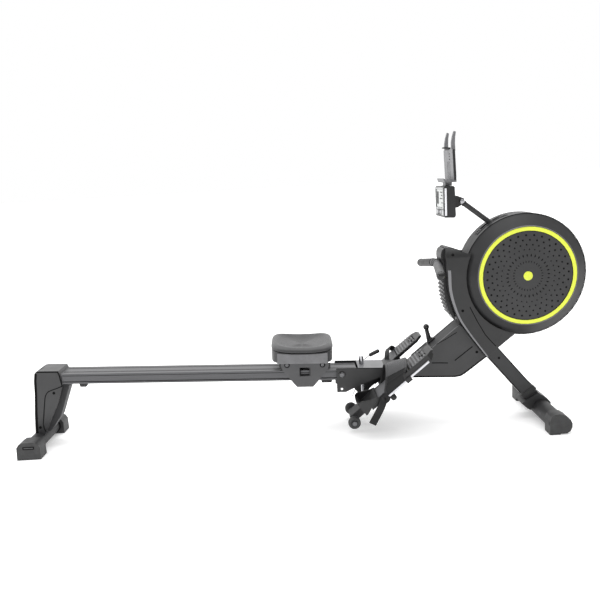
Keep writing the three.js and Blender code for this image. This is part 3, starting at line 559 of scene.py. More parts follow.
def vent_disc(side, sign):
    """The disc's face: rings of round holes outside, and two rings of short radial slots."""
    front, back = FACE_Y * 1000 - 1.5, FACE_Y * 1000 - 5.7
    verts, faces = [], []
    shadows = Solids()

    def spot(r, a, sunk=0.0):
        """A point on the crowned face, or sunk below it."""
        y = front + DISC_CROWN * (1 - (r / DISC_R) ** 2) - sunk
        return at(WHEEL_XZ[0] + r * math.cos(a), sign * y, WHEEL_XZ[1] + r * math.sin(a))

    def added(points):
        verts.extend(points)
        return list(range(len(verts) - len(points), len(verts)))

    def holed_cell(corners, hole):
        """The strips from a cell's corners to its hole, the hole's wall and its floor."""
        rim, deep = (added([spot(*p, sunk) for p in hole]) for sunk in (0.0, 2.6))
        order = order_round([verts[i] for i in rim], verts[corners[0]], verts[corners[1]])
        rim, deep = [rim[i] for i in order], [deep[i] for i in order]
        for c in range(4):
            d = (c + 1) % 4
            faces.append([corners[c], corners[d], rim[2 * d], rim[2 * c + 1], rim[2 * c]])
        for c in range(8):
            d = (c + 1) % 8
            faces.append([rim[c], rim[d], deep[d], deep[c]])
        faces.append(deep)
        # a near-black plug filling each hole below its rim: painted shade inside the hole
        shadows.loft([[spot(*p, sunk) for p in hole] for sunk in (2.7, 0.9)])

    bands = [DISC_R, 171.0]
    for r, long, _ in VENT_RINGS:
        bands += [r + long + 1.4, r - long - 1.4]
    bands += [36.0, 22.0]
    angles = turns(VENT_CELLS)
    grid = [added([spot(r, a) for a in angles]) for r in bands]
    for i in range(len(bands) - 1):
        ring = i // 2 - 1
        holed = i % 2 == 0 and 0 <= ring < len(VENT_RINGS)
        for k in range(VENT_CELLS):
            j = (k + 1) % VENT_CELLS
            corners = [grid[i][k], grid[i][j], grid[i + 1][j], grid[i + 1][k]]
            if not holed or (k + ring) % 2:
                faces.append(corners)
                continue
            r, long, wide = VENT_RINGS[ring]
            a = 2 * math.pi * (k + 0.5) / VENT_CELLS
            holed_cell(corners, [(r + long * math.sin(t), a + wide * math.cos(t) / r)
                                 for t in turns(8)])
    hub = added([spot(0, 0)])[0]
    behind = added([at(WHEEL_XZ[0] + DISC_R * math.cos(a), sign * back,
                       WHEEL_XZ[1] + DISC_R * math.sin(a)) for a in angles])
    for k in range(VENT_CELLS):
        j = (k + 1) % VENT_CELLS
        faces += [[grid[-1][k], grid[-1][j], hub], [grid[0][k], grid[0][j], behind[j], behind[k]]]
    faces.append(behind)
    piece = Solids().take(verts, faces).piece(f"vented_disc_{side}", DISC, "frame")
    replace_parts(piece, f"vent_disc_{side}")
    shadows.piece(f"vent_hole_shade_{side}", GAP_AND_SHADE, "frame")


def order_round(rim, first_corner, second_corner):
    """The order of a hole's rim that starts by the first corner and goes towards the second."""
    first = min(range(8), key=lambda i: (rim[i] - first_corner).length)
    ahead, behind = ([(first + step * i) % 8 for i in range(8)] for step in (1, -1))
    gaps = [(rim[way[2]] - second_corner).length for way in (ahead, behind)]
    return ahead if gaps[0] < gaps[1] else behind


def dress_drum():
    face = FACE_Y * 1000
    for side, sign in SIDES.items():
        vent_disc(side, sign)
        for name, material, steps, profile in (
            ("centre_cap", ACCENT, 48, [
                (0.05, face - 1), (0.05, face + 2.2), (12, face + 2.0), (16, face + 1.4),
                (18, face + 0.2), (18, face - 1)]),
            # the raised ring round the disc is paler grey: painted highlight along its edge
            ("ring_trim", RING_EDGE_HIGHLIGHT, 144, [
                (188.8, face - 3), (188.8, face - 0.6), (189.6, face + 0.2), (191.0, face - 0.4),
                (192.6, face - 2.6), (191.5, face - 4)]),
            ("rim_seam", GAP_AND_SHADE, 144, rect(237.0, 237.9, 50.6, 53.8)),
            ("disc_lip", GAP_AND_SHADE, 144, [
                (170.8, face - 3), (170.8, face - 0.9), (172.0, face - 0.5), (173.4, face - 0.8),
                (173.4, face - 3)]),
        ):
            ring = Solids().turned(WHEEL, (0, sign, 0), profile, steps)
            ring.piece(f"{name}_{side}", material, "frame")


def grommet():
    """The louvred frame round the slot that the console's arm comes out of."""
    middle = math.degrees(math.atan2(800 - WHEEL_XZ[1], 1891 - WHEEL_XZ[0]))

    def arc(solids, profile, steps, turn, half):
        solids.turned(WHEEL, (0, 1, 0), profile, steps, middle + turn - half, middle + turn + half)

    louvres = Solids()
    for sign in (-1, 1):
        arc(louvres, [(236.8, sign * 13), (239.6, sign * 13.5), (239.9, sign * 19),
                      (237.0, sign * 20.5)], 36, 0, 17)
    for turn in (-16.6, -14.8, -13.0, -11.2, 11.2, 13.0, 14.8, 16.6):
        arc(louvres, rect(236.8, 239.8, -15, 15), 3, turn, 0.35)
    louvres.piece("arm_grommet", BLACK, "frame")
    # near-black strips behind the louvres: painted shade in the slot
    shade_back = Solids()
    for turn in (-14, 14):
        arc(shade_back, rect(236.9, 237.8, -13.4, 13.4), 6, turn, 2.8)
    shade_back.piece("arm_grommet_shade", GAP_AND_SHADE, "frame")


SPINE_FACE, LOWER_FACE = 72.1, 51.1  # |Y| of the two covers' side faces
SPINE_EDGE = [
    (1709, 719), (1703, 690), (1705, 658), (1709, 611), (1712, 552), (1726, 492), (1750, 431),
    (1792, 365), (1856, 275.5),
]
GRILLE_LINE = [(1696.2, 612), (1697, 585), (1702, 521), (1712, 478), (1722, 454)]
GRILLE_TOOTH = ((-4.2, -2), (-4.2, 1.2), (-1.4, 5.6), (2.6, 5.0), (3.4, 0.4), (3.4, -2))


def flat_curve(points, steps):
    return curve_through([(x, z, 0) for x, z in points], steps)


def dress_spine():
    lower = [(p.x, p.y) for p in flat_curve(SPINE_EDGE, 6) if p.y < 632]
    for side, sign in SIDES.items():
        face, low_face, outward = sign * SPINE_FACE, sign * LOWER_FACE, (0, sign, 0)
        # a paler strip down the lower edge of each spine cover, tapering downwards: painted
        # highlight on the rounded edge
        rings = []
        for i, (x, z) in enumerate(lower):
            width = 14.0 - 6.5 * i / (len(lower) - 1)
            inner, outer = at(x + 0.6, face, z + 0.4), at(x + width, face + sign * 0.9, z + 0.4)
            deep = Vector((0, -sign * 0.0012, 0))
            rings.append([inner + deep, inner, outer, outer + deep])
        Solids().loft(rings).piece(f"spine_edge_highlight_{side}", SPINE_EDGE_HIGHLIGHT, "frame")
        lines = Solids()
        lines.line([(1793, 480), (1822, 420), (1852, 366), (1880, 332), (1893, 318)], face, 3.2)
        lines.line(lower, face, 2.2, 1.6)
        lines.piece(f"spine_lines_{side}", GAP_AND_SHADE, "frame")
        screws = Solids().screw(at(1731, sign * 68.7, 687.5), (0, sign * 0.9, 0.44), 5.4)
        screws.screw(at(1765, face, 467), outward, 5.4)
        screws.screw(at(1823, low_face, 293), outward, 5.4)
        screws.piece(f"cover_screws_{side}", GAP_AND_SHADE, "frame")
        seams = Solids()
        seams.line([(1644, 259), (1675, 257.5), (1708, 255)], low_face, 3.6)
        seams.line([(1664, 334), (1700, 352), (1745, 378)], low_face, 2.4)
        seams.line([(1735, 263.5), (1771, 290.5), (1806, 316.5)], low_face, 3.8)
        seams.line([(1561, 207.4), (1735, 197.8), (1757, 201.2), (1773, 210.0), (1861, 273.6)],
                   sign * 50.9, 5.6, 1.2)
        seams.piece(f"lower_cover_lines_{side}", GAP_AND_SHADE, "frame")
        sill = [on_diag(u, sign * 46.8, -0.5) for u in (322, 560)]
        Solids().ribbon(sill, Vector((0, 1, 0)), 9.0, 2.4).piece(
            f"diagonal_sill_{side}", GREY_PAINT, "frame", 0.0006)
    ribs = Solids()
    for spot, ahead in spaced(flat_curve(GRILLE_LINE, 8), 11):
        out = Vector((ahead.y, -ahead.x, 0))
        corners = [spot + ahead * a + out * o for a, o in GRILLE_TOOTH]
        ribs.slab([(c.x, c.y) for c in corners], -43.5, 43.5)
    ribs.piece("grille_ribs", GREY_PAINT, "frame")


# ---------- rail, legs and feet
RAIL_ENDS = 104, 1345
REAR_FACE, LEG_FACE = 55.15, 33.0  # |Y| of the rear cover's and the front leg's sides


def dress_rail():
    start, stop = (1000 + (x - 1000) / math.cos(SLOPE) + trim
                   for x, trim in zip(RAIL_ENDS, (75, -2)))
    # near-black lines along the rail's grooves on its top and sides: painted shade in the grooves
    lines = Solids()
    for y in (-30, -22, 22, 30):
        lines.ribbon([on_rail(x, y, 0.1) for x in (start, stop)], Vector((0, 1, 0)), 1.2, 0.6)
    for sign in (-1, 1):
        for over in (-7.6, -33.8):
            lines.ribbon([on_rail(x, sign * 51.2, over) for x in (start, stop)],
                         Vector((0, 0, 1)), 3.2, 2.2)
    lines.piece("rail_groove_shade", GAP_AND_SHADE, "rail_body")
    bumpers = Solids()
    for x0, x1, drop in ((240, 272, 15), (1203, 1249, 13)):
        top = -41.2
        for y in (-34, 34):
            bumpers.slab([(x0, top), (x1, top), (x1 - 4, top - drop), (x0 + 4, top - drop)],
                         y - 12, y + 12, on_rail)
    bumpers.piece("seat_stop_bumpers", RUBBER, "rail_body", 0.0015, 3)


def dress_rear():
    for side, sign in SIDES.items():
        face, outward = sign * REAR_FACE, (0, sign, 0)
        lines = Solids().line([
            (176, 255), (150, 246), (132, 241), (118, 236), (110, 229), (103, 218),
            (99.5, 206), (90, 156), (80, 102), (82, 84), (88, 68)], face)
        lines.line([(82, 317.5), (92, 317.2), (162, 313.6)], face, 4.6, 1.2)
        lines.line([(162, 314.5), (167, 303), (173.4, 262), (174, 256)], face, 4.6, 1.2)
        lines.line([(76, 311), (70.5, 280), (66.5, 224), (57.5, 141), (51.5, 64)], face, 9.0, 1.2)
        lines.piece(f"rear_cover_lines_{side}", GAP_AND_SHADE, "rail_body")
        screws = Solids()
        for x, z in ((138, 228), (67, 89), (56, 128)):
            screws.screw(at(x, face, z), outward, 5.6)
        screws.piece(f"rear_cover_screws_{side}", GAP_AND_SHADE, "rail_body")

        cap, pocket = sign * 169.5, Solids()
        rim, hole = rect(34, 79, 42.5, 53.5), rect(38, 75, 46, 50)
        for strip in border(rim, hole):
            pocket.slab(strip, cap - sign * 0.2, cap + sign * 0.9)
        pocket.piece(f"rear_cap_slot_rim_{side}", GAP_AND_SHADE, "rail_body")
        Solids().slab(hole, cap - sign * 0.2, cap + sign * 0.15).piece(
            f"rear_cap_slot_{side}", CARRIAGE, "rail_body")
        Solids().turned(at(54, sign * 105.5, 36), outward, [
            (29.4, -2.6), (32.4, -2.4), (33.2, -0.6), (33.2, 1.2), (29.4, 1.2)]).piece(
            f"rear_cap_collar_{side}", GAP_AND_SHADE, "rail_body")


def dress_front_leg():
    down = Vector((2052 - 1850, 0, 89 - 333)).normalized()
    across = Vector((-down.z, 0, down.x))
    for side, sign in SIDES.items():
        screws = Solids()
        for x, z in ((1916, 258), (2052, 83)):
            screws.screw(at(x, sign * (LEG_FACE + 0.1), z), (0, sign, 0), 5.0)
        screws.piece(f"front_leg_screws_{side}", GAP_AND_SHADE, "frame")
        edges = Solids()
        for w in (-26.4, 26.4):
            path = [at(x, sign * LEG_FACE, z) + across * (w / 1000)
                    for x, z in ((1884, 292), (2022, 125))]
            edges.ribbon(path, across, 3.4, 1.0)
        edges.piece(f"front_leg_edges_{side}", GAP_AND_SHADE, "frame")
    rings = []
    for along, grow in ((-9, 0.6), (-7, 3.2), (9, 4.4), (12, 3.4)):
        middle = at(2034, 0, 110.7) + down * (along / 1000)
        half_y, half_w = LEG_FACE + grow, 28.5 + grow
        rings.append([middle + across * (w / 1000) + Vector((0, y / 1000, 0))
                      for y, w in rect(-half_y, half_y, -half_w, half_w)])
    Solids().loft(rings).piece("front_leg_collar", RUBBER, "frame", 0.002, 3)


def dress_casters():
    for side, sign in SIDES.items():
        place, body = at(1323.8, sign * 86, 42.8), f"caster_wheel_{side}"
        hub, tread = Solids(), Solids()
        for out in (-1, 1):
            hub.turned(place, (0, out, 0), [
                (6.6, 10.6), (10.8, 10.6), (12.6, 12.4), (15.5, 12.2), (17.0, 11.3), (17.2, 10.4),
                (17.2, 9.0), (6.6, 9.0)], 40)
        hub.piece(f"caster_hub_{side}", CAP_AND_SHADED_GRIP_GREY, body)
        for shift in (-5, 0, 5):
            tread.turned(place, (0, 1, 0), [
                (24.2, shift - 1.0), (24.9, shift - 0.7), (24.9, shift + 0.7),
                (24.2, shift + 1.0)])
        tread.piece(f"caster_tread_{side}", RUBBER, body)


# ---------- seat
SEAT_AT, SEAT_HALF_X, SEAT_HALF_Y = 1129, 121.5, 136.0  # its middle on the rail, its half sizes
BASE, SEAM, TOP = range(3)  # what a height on the seat is measured from
# (share of the plan, height, what the height is measured from), from the bottom to the dish
CUSHION_SIDE = (
    (0.80, 58.2, BASE), (0.920, 58.2, BASE), (0.928, 60.0, BASE), (0.930, 68.0, BASE),
    (0.930, -9.0, SEAM), (0.932, -1.4, SEAM), (0.936, 0.0, SEAM), (0.955, 0.8, SEAM),
    (0.985, 1.2, SEAM), (0.999, 3.2, SEAM), (1.0, 6.0, SEAM), (0.990, -8.4, TOP),
    (0.965, -5.0, TOP), (0.93, -2.6, TOP), (0.89, -0.9, TOP), (0.85, 0.0, TOP),
    (0.81, -0.6, TOP), (0.765, -3.4, TOP), (0.71, -7.6, TOP), (0.64, -11.6, TOP),
    (0.55, -15.0, TOP), (0.42, -17.4, TOP), (0.27, -18.4, TOP), (0.12, -18.6, TOP))
# the skirt: a straight wall below the seam, rolled in at its top and folded under below
SKIRT_SIDE = (
    (0.980, 51.0, BASE), (0.985, 52.6, BASE), (0.987, 60.0, BASE), (0.987, -6.5, SEAM),
    (0.983, -3.2, SEAM), (0.970, -1.6, SEAM), (0.952, -2.0, SEAM), (0.948, -6.0, SEAM),
    (0.948, 53.0, BASE), (0.955, 50.4, BASE))
# the profile of the painted reflection on each long side
REFLECTION_SIDE = (
    (0.982, 49.8, BASE), (0.990, 50.6, BASE), (0.993, 54.0, BASE), (0.993, -8.0, SEAM),
    (0.990, -4.6, SEAM), (0.982, -3.8, SEAM))


def seat_plan(count):
    """Points round the pad's rounded plan, each side running from -1 to 1."""
    def squared(v):
        return math.copysign(abs(v) ** 0.42, v)

    return [(squared(math.cos(a)), squared(math.sin(a))) for a in turns(count)]


def seat_point(share, height, kind, x, y):
    """A point on the seat: the seam dips along its long sides and the top rises to its ends."""
    side = max(0.0, 1 - x * x) * min(1.0, abs(y) ** 4)
    level = (0.0, 97.5 - 7.5 * side, 113.4 + 3.4 * x * x - 4.6 * side)[kind]
    return on_rail(SEAT_AT + SEAT_HALF_X * share * x, SEAT_HALF_Y * share * y, height + level)


def seat_wall(profile, places):
    return [[seat_point(*point, x, y) for point in profile] for x, y in places]


def seat_pad():
    """A moulded pad: a dished cushion rolled over at its edges, a seam, and a straight skirt."""
    plan = seat_plan(144)
    rings = [[seat_point(*point, x, y) for x, y in plan] for point in CUSHION_SIDE]
    pad = Solids().loft(rings).piece("seat_cushion", VINYL, "seat")
    pad.data.attributes.remove(pad.data.attributes["sharp_edge"])
    fine = pad.modifiers.new("fine", "SUBSURF")
    fine.levels = fine.render_levels = 1
    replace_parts(pad, "seat_pad")
    Solids().loft(seat_wall(SKIRT_SIDE, plan), ends=False).piece("seat_skirt", VINYL, "seat")
    for side, sign in SIDES.items():
        # a paler copy of the vinyl over the middle of each long side: painted reflection where the
        # side catches the light
        places = [(0.80 * k / 24, sign) for k in range(-24, 25)]
        Solids().loft(seat_wall(REFLECTION_SIDE, places)).piece(
            f"seat_side_reflection_{side}", SEAT_SIDE_REFLECTION, "seat")

    loop = [seat_point(0.958, 0.0, SEAM, x, y) for x, y in plan]
    up, rings = Vector((0, 0, 1)), []
    for i, point in enumerate(loop):
        ahead = (loop[(i + 1) % len(loop)] - loop[i - 1]).normalized()
        out = ahead.cross(up).normalized()
        rings.append([point + (out * math.cos(a) + up * math.sin(a)) * 0.0016 for a in turns(6)])
    Solids().loft(rings, ends=False).piece("seat_seam_cord", GAP_AND_SHADE, "seat")


def dress_carriage():
    for side, sign in SIDES.items():
        face, outward = sign * 60.5, (0, sign, 0)
        bolts, cups = Solids(), Solids()
        for x in (1068.6, 1209):
            centre = on_rail(x, face, 24)
            bolts.turned(centre, outward, [
                (0.05, -0.5), (0.05, 1.0), (2.2, 1.0), (2.8, 3.4), (4.8, 3.6), (6.6, 2.4),
                (6.8, -0.5)], 28)
            cups.turned(centre, outward, [
                (7.0, -0.5), (7.0, 0.5), (9.6, 1.2), (10.8, 0.8), (11.0, -0.5)], 32)
        bolts.piece(f"carriage_bolts_{side}", BOLT, "seat")
        cups.piece(f"carriage_bolt_cups_{side}", GAP_AND_SHADE, "seat")
        window, wipers = Solids(), Solids()
        for strip in border(rect(1118, 1161, -22, 13), rect(1122.3, 1156.7, -18.7, 9.7)):
            window.slab(strip, face - sign * 0.3, face + sign * 0.8, on_rail)
        window.piece(f"carriage_window_trim_{side}", PAINT, "seat", 0.0003, 2)
        for x0, x1 in ((1038, 1047), (1231, 1240)):
            wipers.slab(rect(x0, x1, 30, 6), sign * 54.8, sign * 56.1, on_rail)
        wipers.piece(f"carriage_wipers_{side}", RUBBER, "seat", 0.0006)


# ---------- front frame
def dress_beam():
    # a thin light grey sheet on the front beam's top: painted highlight where the top face catches
    # the light
    Solids().slab([(1350.4, 258.15), (1458, 252.9), (1450, 253.7), (1350.4, 258.7)],
                  -56, 56).piece("beam_top_highlight", BEAM_TOP_HIGHLIGHT, "frame", 0.0003)
    Solids().line([(1264.5, 260.6), (1350, 256.8), (1545, 247.4)], -59.6, 1.8).piece(
        "beam_edge_near", GAP_AND_SHADE, "frame")
    for side, sign in SIDES.items():
        Solids().turned(at(1285, sign * 59.7, 236.4), (0, sign, 0), [
            (8.6, 0.0), (8.6, 0.9), (13.2, 0.9), (14.4, 0.2), (14.4, -0.2), (8.6, -0.2)],
            36).piece(f"fold_bolt_washer_{side}", BLACK, "frame")
        Solids().turned(at(1285, sign * 66.8, 236.4), (0, sign, 0), [
            (0.05, -0.5), (0.05, -0.2), (4.4, -0.2), (4.6, 1.2), (7.2, 1.3), (8.8, 0.3),
            (9.0, -0.5)], 32).piece(f"fold_bolt_boss_{side}", BOLT, "frame")
    tether = curve_through([at(1352, -6, 176), at(1345, -7, 169), at(1336, -8, 150),
                            at(1325, -8, 127)], 6)
    Solids().tube(tether, 1.3, 10).piece("lock_pin_tether", BLACK, "frame")


def dress_lock():
    up = (0, 0, 1)
    Solids().turned(at(1368.5, 0, 289.0), up, [
        (0.05, -2), (0.05, 1.4), (3.5, 1.0), (4.9, -0.6), (4.9, -2)], 28).piece(
        "lock_pin_cap", CHROME, "lock")
    lever = [at(x, 0, z) for x, z in (
        (1401, 291), (1404, 292.4), (1410, 295.2), (1436, 307.2), (1441, 309.4), (1443, 310.4))]
    Solids().tube(lever, [3.4, 6.2, 7.8, 7.8, 6.4, 3.0], 24).piece(
        "lock_grip_sleeve", GLOSS_BLACK, "lock")
    rims = Solids()
    start, stop = at(1404, 0, 292.3), at(1437, 0, 306.6)
    for share in (0.06, 0.94):
        rims.turned(start.lerp(stop, share), stop - start, [
            (6.2, -1.2), (8.4, -0.8), (8.4, 0.8), (6.2, 1.2)], 28)
    rims.piece("lock_grip_rims", BLACK, "lock")


def dress_hook_post():
    foot_u, y, ball_r = 443, 32, 12.2
    foot, low = on_diag(foot_u, y, 4.1), on_diag(foot_u, y, 12)
    top = at(1640.4, y, 380)
    Solids().turned(foot, on_diag(foot_u, y, 100) - foot, [
        (0.05, -0.2), (0.05, 8), (9.8, 8), (11.5, 6.6), (12, 3), (15.5, 1.6), (16, -0.2)],
        36).piece("hook_post_flange", BLACK, "frame")
    Solids().tube([low, low.lerp(top, 0.04), low.lerp(top, 0.9), top],
                  [7.4, 8.6, 8.0, 6.0], 28).piece("hook_post_sleeve", GLOSS_BLACK, "frame")
    round_side = [(ball_r * math.sin(math.radians(t)), ball_r * math.cos(math.radians(t)))
                  for t in range(12, 169, 12)]
    Solids().turned(at(1640.4, y, 387.7), (0, 0, 1), [(0.05, 12.3), *round_side, (0.05, -12.3)],
                    40).piece("hook_post_ball", GLOSS_BLACK, "frame")


# ---------- pedals and foot straps
PEDAL_IN, PEDAL_OUT = 62.9, 176.3  # |Y| of a pedal's inner and outer sides


def band_point(sign, across, ahead, lift):
    """A point of the foot band: across runs from its inner to its outer foot, ahead to the toe."""
    middle, reach = (PEDAL_IN + PEDAL_OUT) / 2, (PEDAL_OUT - PEDAL_IN) / 2 + lift
    if sign > 0:
        # the far foot's band is a narrow hoop lying askew over the pedal
        a = math.pi * across
        rise = max(0.0, math.sin(a)) ** 0.62
        return on_diag(222 + 62 * across + 14 * rise + 24 * ahead, middle - reach * math.cos(a),
                       14 + (48 + lift) * rise)
    foot, shoulder, ridge = 6.0, 36.0, 93 - 36 * ahead
    u_foot, u_ridge = 176 + 100 * ahead, 250 + 78 * ahead
    if across < 0.14 or across > 0.86:
        # the band's two straight feet
        share = min(across, 1 - across) / 0.14
        y = middle + math.copysign(reach, across - 0.5)
        return on_diag(u_foot + 10 * share, sign * y, foot + (shoulder - foot) * share)
    a = math.pi * (across - 0.14) / 0.72
    return on_diag(u_foot + 10 + (u_ridge - u_foot - 10) * math.sin(a) ** 0.75,
                   sign * (middle - reach * math.cos(a)),
                   shoulder + (ridge - shoulder + lift) * math.sin(a) ** 0.8)


def band_sheet(sign, ahead, lifts, rows, columns=56, across=(0.0, 1.0)):
    """A closed band of even thickness between two lifts off the pedal's outline."""
    rings = []
    for c in range(columns + 1):
        part = across[0] + (across[1] - across[0]) * c / columns
        low, high = ([band_point(sign, part, ahead[0] + (ahead[1] - ahead[0]) * r / rows, lift)
                      for r in range(rows + 1)] for lift in lifts)
        rings.append(low + high[::-1])
    return Solids().loft(rings)


def foot_straps():
    for side, sign in SIDES.items():
        band = band_sheet(sign, (0.0, 1.0), (0.3, 2.4), 14)
        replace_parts(band.piece(f"foot_band_{side}", WEB_BAND, "frame"), f"foot_strap_{side}")
        for name, ahead in (("rear", (-0.01, 0.07)), ("front", (0.93, 1.01))):
            hem = band_sheet(sign, ahead, (0.0, 3.3), 2)
            hem.piece(f"band_{name}_hem_{side}", RUBBER, "frame", 0.0004)
        # a layer over the middle of each band's top; on the near foot it is paler webbing, a
        # painted highlight where the top catches the light
        over = band_sheet(sign, (0.03, 0.97), (2.5, 3.6), 12, 40, (0.24, 0.74))
        over.piece(f"band_top_{side}", WEB_TOP_HIGHLIGHT if sign < 0 else WEB_BAND, "frame", 0.0003)
        stitches, count = Solids(), 60
        for ahead in (0.10, 0.90):
            for k in range(count):
                start = 0.16 + 0.68 * k / count
                stitches.tube([band_point(sign, across, ahead, 3.8)
                               for across in (start, start + 0.0062)], 0.45, 5)
        stitches.piece(f"band_stitches_{side}", STITCH, "frame")

        # the strap's loose end hangs from its outer foot
        y = sign * 184.5
        path = curve_through([
            on_diag(186, sign * 179.6, 26), on_diag(174, sign * 183.0, 8), at(1433, y, 163),
            at(1419, y + sign * 1.5, 132), at(1402, y + sign, 100), at(1385, y, 69)], 8)
        Solids().ribbon(path, Vector((0.86, 0, -0.5)), 29.0, 1.8).piece(
            f"strap_tail_{side}", WEB_BAND, "frame", 0.0003)


def pedal_knob(side, sign):
    """The clamp's knob under the pedal, ribbed round its rim."""
    top = on_diag(190, sign * 110, 0)
    down = on_diag(0, 0, -1000) - on_diag(0, 0, 0)
    knob = Solids().turned(top, down, [
        (0.05, 0), (6.5, 0), (6.5, 16), (9.5, 18), (11.0, 21), (11.0, 37), (9.6, 40),
        (6.0, 41.5), (0.05, 42)], 32)
    first, second = two_axes(down)
    for a in turns(12):
        spot = top + (first * math.cos(a) + second * math.sin(a)) * 0.0108
        knob.tube([spot + down * 0.022, spot + down * 0.036], 1.2, 6)
    knob.piece(f"pedal_knob_{side}", BLACK, "frame")


def dress_pedals():
    inner, outer = PEDAL_IN, PEDAL_OUT + 0.2
    mid = (inner + outer) / 2
    # half of the heel cup's upper edge: along the diagonal, from the pedal's middle, and over it
    half_lip = [(128, 61.4, 42), (112, 61.2, 49), (94, 60.4, 61), (81, 57, 63.4), (76, 46, 63.8),
                (74.5, 30, 63.8)]
    lip_line = ([(u, -y, w) for u, y, w in half_lip] + [(74, 0, 63.8)] + half_lip[::-1])
    for side, sign in SIDES.items():
        strips = Solids()
        for u0, u1, w0, w1 in ((165, 273, 4.4, 13.2), (297, 387, 6.4, 15.2)):
            strips.slab([(u0, w0), (u1, w0 + 0.6), (u1 + 1.5, w1), (u0 + 1.5, w1 - 0.6)],
                        sign * (outer - 2.2), sign * (outer + 5.0), on_diag)
        strips.piece(f"pedal_edge_strips_{side}", EDGE_METAL, "frame", 0.0012, 3)
        clamp = Solids().slab(rect(272.5, 297.5, -2, 16), sign * (outer - 2.6),
                              sign * (outer + 5.6), on_diag)
        clamp.slab([(150, 0.5), (288, 2.2), (288, 4.4), (150, 2.6)], sign * (inner + 4),
                   sign * (outer - 2.6), on_diag)
        clamp.piece(f"pedal_clamp_block_{side}", BLACK, "frame", 0.0008)
        pedal_knob(side, sign)
        buckle = Solids()
        loop = border(rect(370, 396, -27, 27), rect(374.5, 391.5, -21, 21))
        for points, w0, w1 in (*((strip, 33.2, 37.4) for strip in loop),
                               (rect(381.5, 384.5, -21.5, 21.5), 34.6, 38.6)):
            buckle.column([(u, sign * (mid + y)) for u, y in points], w0, w1, on_diag)
        buckle.piece(f"toe_buckle_{side}", BLACK, "frame", 0.0008)
        tread = Solids()
        for u in range(302, 400, 14):
            half = 54.0 if u < 380 else 50.0
            tread.slab([(u - 1.4, 30.5), (u + 5.6, 30.5), (u + 5.6, 35.6), (u + 4.6, 36.6),
                        (u - 0.4, 36.6), (u - 1.4, 35.6)],
                       sign * (mid - half), sign * (mid + half), on_diag)
        tread.slab([(112, 26.4), (296, 34.2), (296, 35.4), (112, 27.6)],
                   sign * (mid - 52), sign * (mid + 52), on_diag)
        tread.piece(f"pedal_tread_{side}", PEDAL_GREY, "frame", 0.0005)
        lip = curve_through([on_diag(u, sign * (mid + y), w) for u, y, w in lip_line], 4)
        Solids().tube(lip, 2.2, 10).piece(f"heel_cup_lip_{side}", GLOSS_BLACK, "frame")
    Solids().slab([(338, 0.6), (344, 6.4), (424, 6.4), (432, 0.6)], -47, 47, on_diag).piece(
        "diagonal_sheath", BLACK, "frame", 0.003, 4)


# ---------- handle and pull strap
HANDLE_X, HANDLE_Z, GRIP_RINGS = 1679, 651, 24
STRAP_X, STRAP_Z = (1689.6, 1743.6), 645.6


def dress_handle():
    for side, sign in SIDES.items():
        start, stop = at(HANDLE_X, sign * 22, HANDLE_Z), at(1657, sign * 194, 629.7)
        along = (stop - start).normalized()
        low, high = 20.0, (stop - start).length * 1000 - 1.0
        step = (high - low) / GRIP_RINGS
        profile = [(12.6, low)]
        for k in range(GRIP_RINGS):
            profile += [(r, low + step * (k + 0.15 + share)) for r, share in (
                (15.75, 0.0), (15.95, 0.3), (15.95, 0.55), (15.7, 0.8))]
        profile += [(15.7, high), (12.6, high)]
        # the far grip takes the darker foot-cap rubber: painted shade, so that it reads darker than
        # the near grip
        Solids().turned(start, along, profile, 40).piece(
            f"grip_sleeve_{side}", GRIP_GREY if sign < 0 else CAP_AND_SHADED_GRIP_GREY, "handle")
        rings = Solids()
        for o in (low - 1.5, high + 1.0):
            rings.turned(start, along, [
                (12.2, o - 1.6), (16.4, o - 1.4), (16.8, o), (16.4, o + 1.4), (12.2, o + 1.6)],
                40)
        rings.piece(f"grip_end_rings_{side}", BLACK, "handle")
        ball = [(16.3 * math.cos(math.radians(t)), 16.3 * math.sin(math.radians(t)))
                for t in range(-6, 85, 7)]
        Solids().turned(stop + along * 0.004, along, [*ball, (0.05, 16.3), (0.05, -1.7)],
                        40).piece(f"grip_end_ball_{side}", GLOSS_BLACK, "handle")
    core = [at(HANDLE_X - back, y, HANDLE_Z - drop) for back, y, drop in (
        (2.3, -40, 2.2), (0, -20, 0.1), (0, 0, 0), (0, 20, 0.1), (2.3, 40, 2.2))]
    Solids().tube(curve_through(core, 6), 14.4, 36).piece(
        "handle_core_sleeve", GRIP_GREY, "handle")
    clamps = Solids()
    for y in (-12, 12):
        clamps.turned(at(HANDLE_X, y, HANDLE_Z), (0, 1, 0), [
            (12.0, -2.6), (16.2, -2.6), (16.6, 0), (16.2, 2.6), (12.0, 2.6)], 36)
    clamps.piece("handle_clamp_rings", BLACK, "handle")


def pull_strap():
    """The webbing from the handle to its spool, in many sections."""
    x0, x1 = STRAP_X
    steps = 64
    rings = [[at(x0 + (x1 - x0) * i / steps, y, STRAP_Z + rise) for y, rise in (
        (-12.4, -0.6), (-11.4, -1.0), (11.4, -1.0), (12.4, -0.6), (12.4, 0.6), (11.4, 1.0),
        (-11.4, 1.0), (-12.4, 0.6))] for i in range(steps + 1)]
    piece = Solids().loft(rings).piece("webbing_strap", WEB_X, None)
    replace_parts(piece, "pull_strap")
    tuple(at(1742, 0, STRAP_Z))
    tuple(at(1694, 0, STRAP_Z))
    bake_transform(piece)


# ---------- console and phone tray
CONSOLE_FACE_X = 1697.6


def on_tray(x, y, z):
    """A point by its height, leaning back with the phone tray; x is from the tray's face."""
    return at(1740 - 4 * (z - 968) / 116 + x, y, z)


